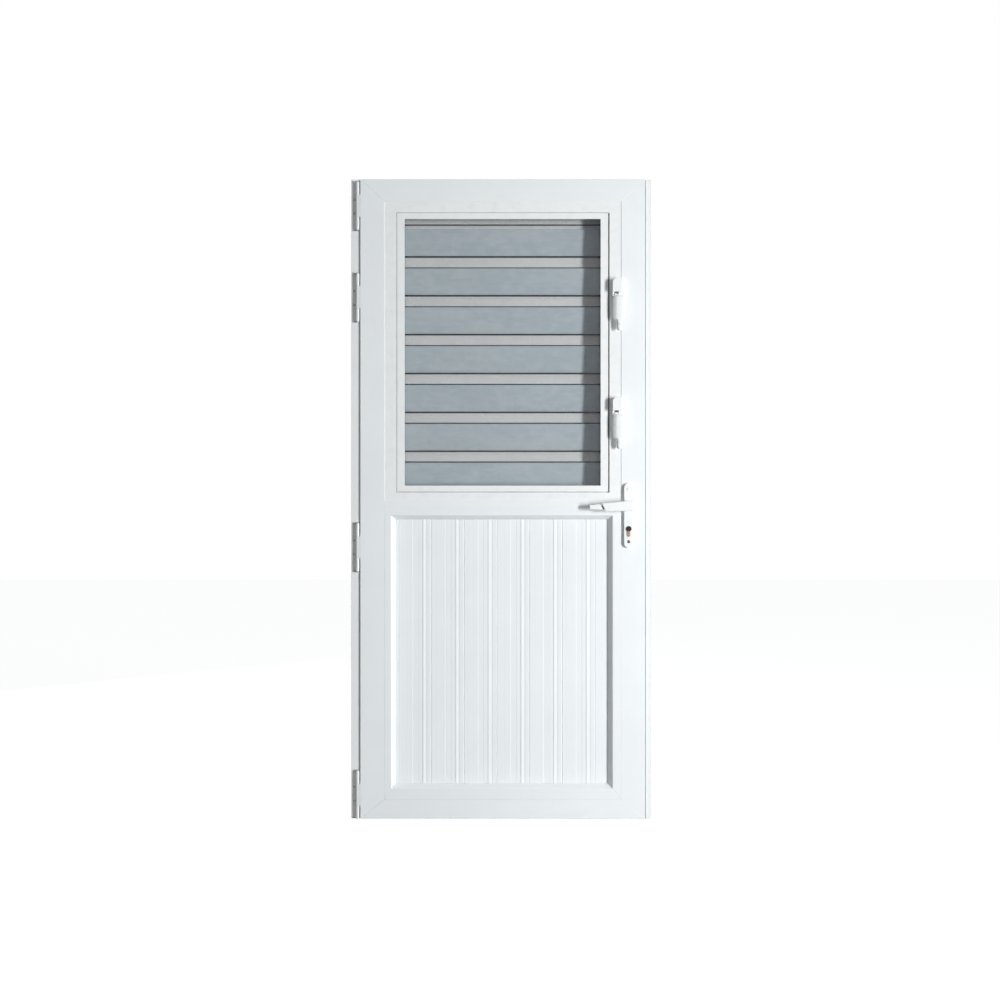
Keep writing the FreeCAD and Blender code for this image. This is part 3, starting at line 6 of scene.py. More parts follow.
import bmesh
import bpy
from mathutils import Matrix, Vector


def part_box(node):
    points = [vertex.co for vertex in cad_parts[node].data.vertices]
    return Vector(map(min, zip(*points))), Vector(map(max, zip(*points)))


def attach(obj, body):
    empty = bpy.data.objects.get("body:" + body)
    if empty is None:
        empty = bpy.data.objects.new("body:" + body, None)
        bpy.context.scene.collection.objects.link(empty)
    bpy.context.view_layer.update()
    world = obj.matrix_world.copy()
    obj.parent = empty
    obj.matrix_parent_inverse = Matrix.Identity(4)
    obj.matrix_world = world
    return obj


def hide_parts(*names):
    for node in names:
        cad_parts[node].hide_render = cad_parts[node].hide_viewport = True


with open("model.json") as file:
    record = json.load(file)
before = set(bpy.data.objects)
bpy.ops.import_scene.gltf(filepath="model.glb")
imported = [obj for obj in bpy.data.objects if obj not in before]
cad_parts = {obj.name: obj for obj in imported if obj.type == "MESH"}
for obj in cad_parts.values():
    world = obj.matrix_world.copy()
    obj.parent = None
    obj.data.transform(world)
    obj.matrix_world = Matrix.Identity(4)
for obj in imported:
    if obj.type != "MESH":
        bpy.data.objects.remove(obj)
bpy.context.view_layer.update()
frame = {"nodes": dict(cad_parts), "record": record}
nodes = frame["nodes"]
scene = bpy.context.scene


# ---------------------------------------------------------------- materials
# Sizes in the materials are in metres, as the coordinates of the nodes are.

PROFILE_STRETCH = 0.015      # how far die lines are drawn out along an extruded profile
SMEAR_STRETCH = 0.4
METAL_STRETCH = 0.02

CYLINDER_WEAR_Z = (0.9005, 0.9045)   # where the lock cylinder's bronze foot turns black

# Heights up a glass blade. The ramps between two heights go from the first to the second.
BLADE_HEIGHT = 0.1617
# Below the lower rim height and above the upper one, a blade is painted nearly black, as painted
# shade for its dark edges.
BLADE_LOWER_RIM = (0.0043, 0.0050)
BLADE_UPPER_RIM = (0.1574, 0.1567)
# Up to the foot's end a blade is painted nearly white, as painted light where the blade below
# overlaps it.
BLADE_FOOT_END = (0.0380, 0.0394)
BLADE_CLEAR_START = (0.1222, 0.1236)

MESH_PITCH = 0.0014
MESH_WIRE = 0.00016
MESH_SHIFT = 1000.0          # whole pitches, so that no fraction is taken below zero


class Shader:
    """A small builder for node materials: each call adds a node and returns its output."""

    def __init__(self, name):
        self.material = bpy.data.materials.new(name)
        self.material.use_nodes = True
        self.tree = self.material.node_tree
        self.bsdf = self.tree.nodes["Principled BSDF"]
        coordinates = self.tree.nodes.new("ShaderNodeTexCoord")
        self.place = coordinates.outputs["Object"]
        self.share = coordinates.outputs["Generated"]

    def link(self, value, socket):
        if isinstance(value, bpy.types.NodeSocket):
            self.tree.links.new(value, socket)
        else:
            socket.default_value = value

    def add(self, kind, inputs, output=0, **settings):
        made = self.tree.nodes.new(kind)
        for key, value in settings.items():
            setattr(made, key, value)
        for socket, value in inputs.items():
            self.link(value, made.inputs[socket])
        return made.outputs[output]

    def scaled(self, x, y, z):
        return self.add("ShaderNodeMapping", {"Vector": self.place, "Scale": (x, y, z)})

    def drawn(self, along, stretch):
        """Coordinates drawn out along z or x, so that a noise turns into lines that way."""
        return self.scaled(*{"z": (1, 1, stretch), "x": (stretch, 1, 1), "none": (1, 1, 1)}[along])

    def noise(self, vector, scale, detail=3.0, roughness=0.55):
        return self.add("ShaderNodeTexNoise", {"Vector": vector, "Scale": scale, "Detail": detail,
                                               "Roughness": roughness}, "Fac")

    def math(self, operation, a, b=0.0, c=0.0):
        return self.add("ShaderNodeMath", {0: a, 1: b, 2: c}, operation=operation)

    def ramp(self, value, low, high, start=0.0, end=1.0):
        return self.add("ShaderNodeMapRange", {"Value": value, "From Min": low, "From Max": high,
                                               "To Min": start, "To Max": end},
                        interpolation_type="SMOOTHSTEP")

    def mix(self, factor, a, b):
        made = self.tree.nodes.new("ShaderNodeMix")
        made.data_type = "RGBA"
        for socket, value in ((0, factor), (6, a), (7, b)):
            self.link(value, made.inputs[socket])
        return made.outputs[2]

    def tint(self, mask, amount, base, colour):
        """Lays the colour over the base where the mask is on, by the amount at most."""
        return self.mix(self.math("MULTIPLY", mask, amount), base, colour)

    def axis(self, letter, of=None):
        vector = self.place if of is None else of
        return self.add("ShaderNodeSeparateXYZ", {0: vector}, "XYZ".index(letter))

    def bump(self, height, distance, strength):
        normal = self.add("ShaderNodeBump", {"Height": height, "Distance": distance,
                                             "Strength": strength})
        self.link(normal, self.bsdf.inputs["Normal"])

    def set(self, **values):
        for name, value in values.items():
            self.link(value, self.bsdf.inputs[name.replace("_", " ").title()])


def shade(colour, factor):
    return tuple(min(1.0, channel * factor) for channel in colour) + (1.0,)


def extruded_pvc(name, colour, along="z", roughness=0.33, grime=0.08, reeds=0.0):
    """Satin extruded plastic: faint die lines along the profile, cloudy tone, fine orange peel.
    Reeds are narrow uneven flutes that run the height of a plank; their hollows are painted darker,
    as painted shade in the flutes."""
    s = Shader(name)
    die = s.noise(s.drawn(along, PROFILE_STRETCH), 420, 2)
    cloud = s.noise(s.place, 5.5, 4)
    smear = s.noise(s.drawn(along, SMEAR_STRETCH), 14, 3, 0.5)
    dirty = (colour[0] * 0.97, colour[1] * 0.965, colour[2] * 0.95)
    tone = s.mix(s.ramp(cloud, 0.35, 0.7), shade(colour, 0.975), shade(colour, 1.0))
    tone = s.tint(s.ramp(die, 0.56, 0.74), 0.35, tone, shade(colour, 0.95))
    tone = s.tint(s.ramp(smear, 0.60, 0.78), grime, tone, shade(dirty, 0.90))
    relief = s.math("MULTIPLY_ADD", die, 0.6, s.noise(s.place, 900, 2))
    if reeds:
        flute = s.noise(s.scaled(1, 0, 0), 130, 2, 0.6)
        # Painted shade: the tone is darker where the bump below sinks the flutes' hollows.
        tone = s.tint(s.ramp(flute, 0.52, 0.70), reeds, tone, shade(colour, 0.90))
        relief = s.math("MULTIPLY_ADD", s.ramp(flute, 0.35, 0.65), -2.2 * reeds, relief)
    s.set(base_color=tone, roughness=s.ramp(smear, 0.3, 0.75, roughness - 0.02, roughness + 0.05),
          coat_weight=0.12, coat_roughness=0.2)
    s.bump(relief, 0.00012, 0.35)
    return s.material


def powder_coat(name, colour, roughness=0.36, texture=1500.0, depth=0.00010):
    """Baked powder paint or moulded nylon: even colour, pebbled surface, slightly rubbed tone."""
    s = Shader(name)
    pebble = s.noise(s.place, texture, 3, 0.5)
    rub = s.noise(s.place, 38, 4, 0.6)
    tone = s.mix(s.ramp(rub, 0.40, 0.75), shade(colour, 1.0), shade(colour, 0.955))
    s.set(base_color=tone, roughness=s.ramp(rub, 0.3, 0.8, roughness - 0.06, roughness + 0.1),
          coat_weight=0.15, coat_roughness=0.15)
    s.bump(pebble, depth, 0.4)
    return s.material


def metal(name, colour, roughness, along="z", wear=0.25, dark=0.35):
    """Drawn or plated metal with fine lines along it and duller, darker spots."""
    s = Shader(name)
    lines = s.noise(s.drawn(along, METAL_STRETCH), 1400, 3)
    spots = s.noise(s.place, 160, 5, 0.7)
    tone = s.tint(s.ramp(lines, 0.35, 0.7), 0.5, shade(colour, 1.0), shade(colour, 0.82))
    tone = s.tint(s.ramp(spots, 0.52, 0.72), wear, tone, shade(colour, dark))
    s.set(base_color=tone, metallic=0.9,
          roughness=s.ramp(spots, 0.35, 0.75, roughness - 0.06, roughness + 0.2))
    s.bump(lines, 0.00006, 0.4)
    return s.material


def worn_cylinder(name):
    """Lock cylinder: nearly black round the plug, worn to bronze on the foot."""
    s = Shader(name)
    spots = s.noise(s.place, 240, 5, 0.7)
    foot = s.mix(s.ramp(spots, 0.42, 0.66), (0.42, 0.30, 0.235, 1), (0.20, 0.14, 0.11, 1))
    top = s.mix(s.ramp(spots, 0.5, 0.75), (0.030, 0.024, 0.021, 1), (0.11, 0.085, 0.07, 1))
    uneven = s.math("MULTIPLY_ADD", spots, 0.004, s.axis("Z"))
    s.set(base_color=s.mix(s.ramp(uneven, *CYLINDER_WEAR_Z), foot, top), metallic=0.75,
          roughness=s.ramp(spots, 0.3, 0.7, 0.30, 0.52))
    s.bump(spots, 0.00008, 0.4)
    return s.material


def rubber(name, colour):
    """Black rubber or brush pile, dull, with a little dust."""
    s = Shader(name)
    grain = s.noise(s.place, 800, 3)
    dust = s.noise(s.place, 60, 5, 0.7)
    dusty = (colour[0] + 0.06, colour[1] + 0.06, colour[2] + 0.055)
    tone = s.tint(s.ramp(dust, 0.5, 0.8), 0.5, shade(colour, 1.0), shade(dusty, 1.0))
    s.set(base_color=tone, roughness=0.75)
    s.bump(grain, 0.0001, 0.5)
    return s.material


def blade_glass():
    """Grey glass: obscured over most of its height, clear along the top. The foot is painted
    lighter, as painted light where two blades overlap, and the rims are painted nearly black, as
    painted shade for the dark look of glass edges.
    The height comes from the blade's own box, so it turns with it."""
    s = Shader("Blade_glass")
    height = s.math("MULTIPLY", s.axis("Z", s.share), BLADE_HEIGHT)
    ripple = s.noise(s.scaled(1, 1, 2.5), 34, 4)
    film = s.noise(s.scaled(0.35, 1, 1), 9, 5, 0.6)
    streak = s.noise(s.scaled(1, 1, 0.03), 210, 3)
    middle = s.mix(s.ramp(ripple, 0.35, 0.7), (0.53, 0.61, 0.66, 1), (0.60, 0.675, 0.72, 1))
    middle = s.tint(s.ramp(film, 0.45, 0.75), 0.5, middle, (0.70, 0.75, 0.77, 1))
    middle = s.tint(s.ramp(streak, 0.5, 0.75), 0.35, middle, (0.52, 0.58, 0.615, 1))
    # Painted light: the foot is nearly white, standing for the light that two overlapping blades
    # reflect.
    foot = s.mix(s.ramp(film, 0.35, 0.7), (0.95, 0.935, 0.93, 1), (0.89, 0.88, 0.875, 1))
    tone = s.mix(s.ramp(height, *BLADE_FOOT_END), foot, middle)
    # Painted shade: outside these heights the rims take the near-black colour below, standing for
    # the dark look of the glass edges.
    inside = s.math("MULTIPLY", s.ramp(height, *BLADE_LOWER_RIM), s.ramp(height, *BLADE_UPPER_RIM))
    clear = s.math("MULTIPLY", s.ramp(height, *BLADE_CLEAR_START), inside)
    s.set(base_color=s.mix(inside, (0.012, 0.014, 0.018, 1), tone),
          roughness=s.ramp(film, 0.3, 0.8, 0.10, 0.24),
          alpha=s.math("MULTIPLY_ADD", clear, -0.95, 1.0))
    s.bump(ripple, 0.0002, 0.25)
    return s.material


def fly_mesh(name, colour):
    """Woven screen: round wires both ways with open holes, each wire passing over and under."""
    s = Shader(name)
    wires, waves = {}, {}
    for letter in "XZ":
        phase = s.math("DIVIDE", s.axis(letter), MESH_PITCH)
        within = s.math("FRACT", s.math("ADD", phase, MESH_SHIFT))
        off = s.math("ABSOLUTE", s.math("SUBTRACT", within, 0.5))
        wires[letter] = s.math("LESS_THAN", off, MESH_WIRE / MESH_PITCH / 2)
        waves[letter] = s.math("SINE", s.math("MULTIPLY", phase, math.pi))
    dust = s.noise(s.place, 14, 4, 0.6)
    tone = s.mix(s.ramp(dust, 0.4, 0.75), shade(colour, 0.85), shade(colour, 1.25))
    s.set(base_color=tone, roughness=0.55, alpha=s.math("MAXIMUM", wires["X"], wires["Z"]))
    s.bump(s.math("MULTIPLY", waves["X"], waves["Z"]), 0.0002, 0.5)
    return s.material


WHITE_LEAF = (0.86, 0.88, 0.885)
WHITE_FRAME = (0.84, 0.855, 0.855)
WHITE_PANEL = (0.87, 0.895, 0.905)
ALUMINIUM = (0.66, 0.67, 0.68)
by_slot = {
    "frame_pvc": extruded_pvc("Frame_pvc", WHITE_FRAME),
    "leaf_pvc": extruded_pvc("Leaf_pvc", WHITE_LEAF),
    "panel_pvc": extruded_pvc("Panel_pvc", WHITE_PANEL, roughness=0.30, grime=0.02, reeds=0.6),
    "louvre_white": powder_coat("Louvre_coat", (0.87, 0.875, 0.87)),
    "operator_white": powder_coat("Operator_nylon", (0.88, 0.885, 0.885), 0.3, 2200.0, 0.00005),
    "handle_white": powder_coat("Handle_coat", (0.89, 0.892, 0.89), 0.26, 2400.0, 0.00004),
    "hinge_white": powder_coat("Hinge_coat", (0.87, 0.875, 0.875), 0.30),
    "mill_aluminium": metal("Mill_aluminium", ALUMINIUM, 0.34),
    "galvanised_steel": metal("Galvanised_steel", (0.55, 0.56, 0.57), 0.42, "none", 0.5, 0.7),
    "seal_rubber": rubber("Seal_rubber", (0.035, 0.036, 0.038)),
    "clip_grey": powder_coat("Clip_nylon", (0.10, 0.105, 0.115), 0.5, 1200.0),
    "lock_steel": metal("Lock_zinc", (0.62, 0.62, 0.62), 0.30, "z", 0.3, 0.6),
    "cylinder_nickel": worn_cylinder("Cylinder_nickel"),
    "screw_steel": metal("Screw_zinc", (0.22, 0.22, 0.23), 0.38, "none", 0.4, 0.5),
    "blade_glass": blade_glass(),
    "screen_mesh": fly_mesh("Screen_weave", (0.05, 0.052, 0.056)),
}
rail_pvc = extruded_pvc("Leaf_pvc_across", WHITE_LEAF, along="x", grime=0.22)
head_pvc = extruded_pvc("Frame_pvc_across", WHITE_FRAME, along="x")
threshold_metal = metal("Threshold_aluminium", ALUMINIUM, 0.36, "x", 0.35, 0.6)

# Nodes whose profile runs along x, so that their lines do too.
ACROSS = {
    "leaf_top_rail": rail_pvc, "leaf_mid_rail": rail_pvc, "leaf_bottom_rail": rail_pvc,
    "bead_top": rail_pvc, "bead_bottom": rail_pvc, "frame_head": head_pvc,
    "threshold": threshold_metal,
}

# Edge radii in millimetres, for the nodes whose edges are seen. The rest get the small one.
SMALL_EDGE = 0.3
EDGE = {
    "frame_left_jamb": 1.2, "frame_right_jamb": 1.2, "frame_head": 1.2, "threshold": 0.6,
    "leaf_left_stile": 1.2, "leaf_right_stile": 1.2, "leaf_top_rail": 1.2, "leaf_mid_rail": 0.4,
    "leaf_bottom_rail": 1.2, "side_beads": 1.0, "bead_top": 0.4, "bead_bottom": 1.0,
    "screen_frame": 0.9, "operator_bases": 1.6, "inner_backplate": 2.0, "outer_backplate": 2.0,
    "hinge_pins": 0.7, "hinge_frame_halves": 0.5, "hinge_leaf_halves": 0.5,
}
# Planks with wide faces between fine ribs, which smooth shading would bend.
FLAT_SHADED = {"panel_planks"}

WELD_GAP = 0.00001           # metres
SAME_PLANE = math.radians(0.5)
NODE_EDGE_ANGLE = math.radians(35)
PIECE_EDGE_ANGLE = math.radians(38)


def round_edges(thing, radius, segments, angle):
    edges = thing.modifiers.new("Edges", "BEVEL")
    edges.width = radius / 1000
    edges.segments = segments
    edges.limit_method = "ANGLE"
    edges.angle_limit = angle


def shade_smooth(thing):
    for polygon in thing.data.polygons:
        polygon.use_smooth = True
    thing.modifiers.new("Smooth", "WEIGHTED_NORMAL").keep_sharp = True


def dress_nodes():
    """Gives each CAD node its material, clean faces and rounded edges."""
    slots = {entry["node"]: entry["material_slot"] for entry in frame["record"]["subparts"]}
    for name, thing in nodes.items():
        thing.data.materials.clear()
        thing.data.materials.append(ACROSS.get(name) or by_slot[slots[name]])
        thing.modifiers.new("Weld", "WELD").merge_threshold = WELD_GAP
        if name in FLAT_SHADED:
            continue
        flat = thing.modifiers.new("Flat", "DECIMATE")
        flat.decimate_type = "DISSOLVE"
        flat.angle_limit = SAME_PLANE
        radius = EDGE.get(name, SMALL_EDGE)
        round_edges(thing, radius, 3 if radius >= 1 else 2, NODE_EDGE_ANGLE)
        shade_smooth(thing)


dress_nodes()


# ---------------------------------------------------------------- mesh helpers
# Sizes below are in millimetres, as in the part's source, up to the studio.

def point(x, y, z):
    return Vector((x, y, z)) / 1000


def circle(radius, count):
    """Points of a circle round the origin, as pairs."""
    turns = [2 * math.pi * step / count for step in range(count)]
    return [(radius * math.cos(turn), radius * math.sin(turn)) for turn in turns]


def superellipse(half_a, half_b, power, count):
    """Points of a rounded rectangle round the origin, as pairs."""
    pairs = []
    for step in range(count):
        angle = 2 * math.pi * (step + 0.5) / count
        across, up = math.cos(angle), math.sin(angle)
        pairs.append((math.copysign(abs(across) ** (2 / power), across) * half_a,
                      math.copysign(abs(up) ** (2 / power), up) * half_b))
    return pairs


def loft(mesh, rings, slot=0):
    """Skins closed rings of equal length one to the next and caps both ends."""
    rows = [[mesh.verts.new(spot) for spot in ring] for ring in rings]
    count = len(rows[0])
    faces = []
    for first, second in zip(rows, rows[1:]):
        for index in range(count):
            after = (index + 1) % count
            faces.append(mesh.faces.new((first[index], first[after], second[after], second[index])))
    faces.append(mesh.faces.new(rows[0][::-1]))
    faces.append(mesh.faces.new(rows[-1]))
    for face in faces:
        face.material_index = slot
    bmesh.ops.recalc_face_normals(mesh, faces=faces)


def turned_rod(mesh, axis, centre, stations, count=28, slot=0):
    """A turned shape along x or y: stations are (place along the axis, radius)."""
    rings = []
    for along, radius in stations:
        spots = [(centre[0] + across, centre[1] + up) for across, up in circle(radius, count)]
        rings.append([point(along, a, b) if axis == "x" else point(a, along, b) for a, b in spots])
    loft(mesh, rings, slot)


def finished(name, mesh, materials, body, bevel=0.0):
    """Turns the built mesh into a piece that rides on a body, smooth but for its hard edges."""
    data = bpy.data.meshes.new(name)
    mesh.to_mesh(data)
    mesh.free()
    piece = bpy.data.objects.new(name, data)
    scene.collection.objects.link(piece)
    for material in materials:
        data.materials.append(material)
    if bevel:
        round_edges(piece, bevel, 3, PIECE_EDGE_ANGLE)
    shade_smooth(piece)
    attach(piece, body)
    return piece


# ---------------------------------------------------------------- door handle

HANDLE_X = 398.0
HANDLE_Z = 981.0
MIRROR_Y = -18.0             # the outside lever is the inside one mirrored in this plane
CREASE_SLANT = -0.42
CREASE_X = (309.0, 321.0)
CREASE_Y = -79.5
CREASE_Z = 975.3
INSIDE_FACE_Y = -58.0        # the plates' outer faces
OUTSIDE_FACE_Y = 22.0
UPPER_SCREW_Z = 1031.0
LOWER_SCREW_Z = 868.0


def lever_bar(place, ends, top, bottom, depth, half_depth, stations):
    """Rings of a tapering bar along x. Top, bottom and depth are pairs: the value at the first
    end and its change up to the second. Stations are (x, share of the section, slant)."""
    rings = []
    for x, grow, slant in stations:
        share = (x - ends[0]) / (ends[1] - ends[0])
        high = top[0] + top[1] * share
        low = bottom[0] + bottom[1] * share
        y = depth[0] + depth[1] * share
        middle, half = (high + low) / 2, (high - low) / 2
        rings.append([place(x + slant * (up * grow), y + deep * grow, middle + up * grow)
                      for deep, up in superellipse(half_depth, half, 5.0, 40)])
    return rings


def make_door_lever(name, node, outside):
    """Lever grip on a flared neck, its end turned back towards the leaf across a slanted crease
    whose core is dark grey, as painted shade in the crease.
    """
    def place(x, y, z):
        return point(x, 2 * MIRROR_Y - y if outside else y, z)

    slant = CREASE_SLANT
    mesh = bmesh.new()
    loft(mesh, lever_bar(place, (411.0, 316.0), (998.0, -10.0), (964.0, -1.5), (-85.0, 0.0), 7.0,
                         ((411.0, 0.70, 0), (410.3, 0.86, 0), (408.0, 0.97, 0), (403.0, 1.0, 0),
                          (370.0, 1.0, 0), (340.0, 1.0, 0), (321.5, 1.0, slant),
                          (319.0, 0.965, slant), (317.8, 0.88, slant))))
    loft(mesh, lever_bar(place, (275.0, 312.0), (983.2, 2.2), (968.6, -1.4), (-80.6, -0.8), 5.4,
                         ((275.0, 0.72, 0), (275.5, 0.88, 0), (277.0, 0.98, 0), (285.0, 1.0, 0),
                          (305.0, 1.0, slant), (310.6, 0.99, slant), (311.8, 0.90, slant))))
    # The crease's core uses the dark grey nylon, as painted shade in the crease.
    loft(mesh, [[place(x + slant * up, CREASE_Y + deep, CREASE_Z + up)
                 for deep, up in superellipse(3.6, 5.6, 4.0, 24)] for x in CREASE_X], 1)
    loft(mesh, [[place(HANDLE_X + across, y, HANDLE_Z + up) for across, up in circle(radius, 40)]
                for y, radius in ((-58.3, 12.6), (-59.4, 12.4), (-60.6, 11.0), (-63.0, 10.1),
                                  (-74.0, 10.0), (-80.0, 11.0), (-84.0, 11.6))])
    piece = finished(name, mesh, [by_slot["handle_white"], by_slot["clip_grey"]], "handle",
                     0.5)
    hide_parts(node)


make_door_lever("inside_lever_grip", "inner_lever", False)
make_door_lever("outside_lever_grip", "outer_lever", True)


def make_plate_screw(name, height, outside, capped):
    """A countersunk screw in a handle plate: a black ring round the head as painted shade in the
    countersink, a head whose cross recess is painted black as its shade, or a white cap.
    """
    mesh = bmesh.new()

    def out(distance):
        return OUTSIDE_FACE_Y + distance if outside else INSIDE_FACE_Y - distance

    def turned(profile, slot=0):
        turned_rod(mesh, "y", (HANDLE_X, height), [(out(far), radius) for far, radius in profile],
                   slot=slot)

    if capped:
        turned(((0.0, 5.0), (0.5, 4.9), (0.95, 4.3), (1.2, 3.0), (1.3, 1.2)))
        finished(name, mesh, [by_slot["handle_white"]], "leaf")
        return
    # Painted shade: a black rubber ring round the head stands for the shade in the countersink.
    turned(((0.0, 4.9), (0.22, 4.8), (0.28, 4.3)), slot=1)
    turned(((0.2, 3.0), (0.5, 2.9), (0.75, 2.4), (0.85, 1.6)))
    # Painted shade: the cross recess is a black rubber cross standing slightly proud of the head.
    for wide, tall in ((2.2, 0.5), (0.5, 2.2)):
        bulge = tall * 1.15
        outline = ((-wide, -tall), (-tall / 2, -bulge), (tall / 2, -bulge), (wide, -tall),
                   (wide, tall), (tall / 2, bulge), (-tall / 2, bulge), (-wide, tall))
        loft(mesh, [[point(HANDLE_X + across, out(far), height + up) for across, up in outline]
                    for far in (0.3, 0.92)], 1)
    finished(name, mesh, [by_slot["screw_steel"], by_slot["seal_rubber"]], "leaf")


make_plate_screw("inside_lower_plate_screw", LOWER_SCREW_Z, False, False)
make_plate_screw("inside_upper_screw_cap", UPPER_SCREW_Z, False, True)
make_plate_screw("outside_lower_screw_cap", LOWER_SCREW_Z, True, True)
make_plate_screw("outside_upper_screw_cap", UPPER_SCREW_Z, True, True)


# ---------------------------------------------------------------- louvre operators

LEVER_X = 368.5              # middle of the hand lever's right half
LEVER_LEFT_EXTRA = 4.0       # how much wider its left half is
LEVER_EVEN_HALF = 9.5        # sections no wider than this, at the top edge and the tip, stay even
LEVER_BACK_Y = -65.2
PIN_Y = -58.0                # axis of the lever's pin
PIN_ABOVE_FOOT = 108.1
DRIVE_Y = -21.37             # axis of the drive pin in the tie bar
DRIVE_ABOVE_PIN = 16.07
ARM_HALF = 4.0
ARM_X = (357.0, 361.0)
HUB_X = (353.2, 364.8)
HUB_RADIUS = 7.9
WEB_Y = -66.5                # the web reaches from the pin's axis into the hand lever
WEB_TOP = 0.5

# The hand lever's section: (share of the half width, depth), from its left foot round to the right.
LEVER_SECTION = (
    (-1.0, LEVER_BACK_Y), (-1.0, -66.3), (-0.86, -68.4), (-0.66, -70.7), (-0.50, -72.1),
    (-0.30, -72.8), (0.25, -73.0), (0.70, -72.6), (0.90, -71.4), (1.0, -69.0),
    (1.0, LEVER_BACK_Y), (0.0, LEVER_BACK_Y))
# Down the lever from its pin: (height, half width, how far the section sinks back).
LEVER_STATIONS = (
    (0.6, 9.5, 3.4), (-0.4, 12.4, 1.7), (-2.2, 14.4, 0.6), (-6.0, 15.4, 0.1), (-20.0, 15.5, 0.0),
    (-55.0, 15.5, 0.0), (-68.0, 15.3, 0.1), (-72.4, 14.4, 0.4), (-74.2, 12.2, 1.0),
    (-75.2, 9.6, 1.9), (-78.0, 9.3, 1.9), (-84.8, 9.3, 1.9), (-85.3, 9.0, 2.5), (-86.7, 9.0, 2.5),
    (-87.2, 9.2, 1.9), (-90.8, 9.2, 1.9), (-91.3, 8.9, 2.5), (-92.7, 8.9, 2.5), (-93.2, 9.1, 1.9),
    (-97.0, 9.0, 1.9), (-101.5, 8.4, 2.1), (-104.8, 7.0, 2.6), (-106.9, 4.8, 3.3),
    (-107.9, 2.4, 4.2))


def make_louvre_lever(name, node, body):
    """Crowned hand lever with a narrow ribbed tip, hub on the pin, inner arm and drive pin."""
    low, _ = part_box(node)
    pin_z = low[2] * 1000 + PIN_ABOVE_FOOT
    mesh = bmesh.new()
    rings = []
    for drop, right, sink in LEVER_STATIONS:
        left = right + (LEVER_LEFT_EXTRA if right > LEVER_EVEN_HALF else 0.0)
        rings.append([point(LEVER_X + side * (left if side < 0 else right),
                            min(depth + sink, LEVER_BACK_Y), pin_z + drop)
                      for side, depth in LEVER_SECTION])
    loft(mesh, rings)
    turned_rod(mesh, "x", (PIN_Y, pin_z), [(352.6, 7.2), (HUB_X[0], HUB_RADIUS),
                                           (HUB_X[1], HUB_RADIUS), (365.4, 7.2)])
    web = ((WEB_Y, pin_z - HUB_RADIUS), (WEB_Y, pin_z - WEB_TOP), (PIN_Y, pin_z - WEB_TOP),
           (PIN_Y, pin_z - HUB_RADIUS))
    loft(mesh, [[point(x, y, z) for y, z in web] for x in HUB_X])
    reach_y, reach_z = DRIVE_Y - PIN_Y, DRIVE_ABOVE_PIN
    turn = math.atan2(reach_z, reach_y)
    arm = []
    for centre_y, centre_z, start in ((reach_y, reach_z, turn - math.pi / 2),
                                      (0.0, 0.0, turn + math.pi / 2)):
        for step in range(13):
            angle = start + math.pi * step / 12
            arm.append((centre_y + ARM_HALF * math.cos(angle),
                        centre_z + ARM_HALF * math.sin(angle)))
    loft(mesh, [[point(x, PIN_Y + along, pin_z + up) for along, up in arm] for x in ARM_X])
    turned_rod(mesh, "x", (DRIVE_Y, pin_z + reach_z), [(332.3, 1.6), (332.7, 2.0), (358.0, 2.0)],
               16)
    piece = finished(name, mesh, [by_slot["operator_white"]], body, 0.35)
    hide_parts(node)


make_louvre_lever("upper_louvre_lever", "upper_lever", "upper_operator")
make_louvre_lever("lower_louvre_lever", "lower_lever", "lower_operator")


# ---------------------------------------------------------------- fly screen and strips

SCREEN_X = (-309.0, 319.0)
SCREEN_Z = (1035.0, 1884.0)
SCREEN_Y = -41.5
SCREEN_RIPPLE = 0.35


def make_fly_screen():
    """The woven screen, one sheet stretched in its groove, with a fitted one's slight ripple."""
    columns, rows = 60, 80
    left, right = SCREEN_X
    low, high = SCREEN_Z
    mesh = bmesh.new()
    grid = []
    for row in range(rows + 1):
        line = []
        for column in range(columns + 1):
            u, v = column / columns, row / rows
            fade = math.sin(math.pi * u) * math.sin(math.pi * v)
            ripple = (SCREEN_RIPPLE * fade * math.sin(9.0 * u + 3.0 * v)
                      * math.cos(7.0 * v - 2.0 * u))
            line.append(mesh.verts.new(point(left + (right - left) * u, SCREEN_Y + ripple,
                                             low + (high - low) * v)))
        grid.append(line)
    for below, above in zip(grid, grid[1:]):
        for column in range(columns):
            mesh.faces.new((below[column], below[column + 1], above[column + 1], above[column]))
    piece = finished("fly_screen_weave", mesh, [by_slot["screen_mesh"]], "leaf")
    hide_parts("screen_mesh")


def make_strip(name, rings):
    """A black strip pressed in the leaf, from the rings along it."""
    mesh = bmesh.new()
    loft(mesh, rings)
    finished(name, mesh, [by_slot["seal_rubber"]], "leaf")


make_fly_screen()

# Brush seal on the window head's weather strip, just behind the first blade.
make_strip("head_brush_seal",
           [[point(x, 15.2 + across * grow, 1869.8 + up * grow)
             for across, up in superellipse(1.3, 2.3, 3.0, 16)]
            for x, grow in ((-312.0, 0.8), (-311.4, 1.0), (324.4, 1.0), (325.0, 0.8))])

# A black strip in the gap on the lock side of the fly screen frame, as painted shade for the dark
# gap.
make_strip("screen_gap_shade_strip",
           [[point(337.0 + across * grow, -42.9 + depth * grow, z)
             for across, depth in superellipse(1.9, 1.5, 2.6, 20)]
            for z, grow in ((1026.0, 0.82), (1027.2, 1.0), (1240.0, 1.0), (1460.0, 1.0),
                            (1680.0, 1.0), (1891.8, 1.0), (1893.0, 0.82))])


# ---------------------------------------------------------------- studio
# Sizes in the studio are in metres.

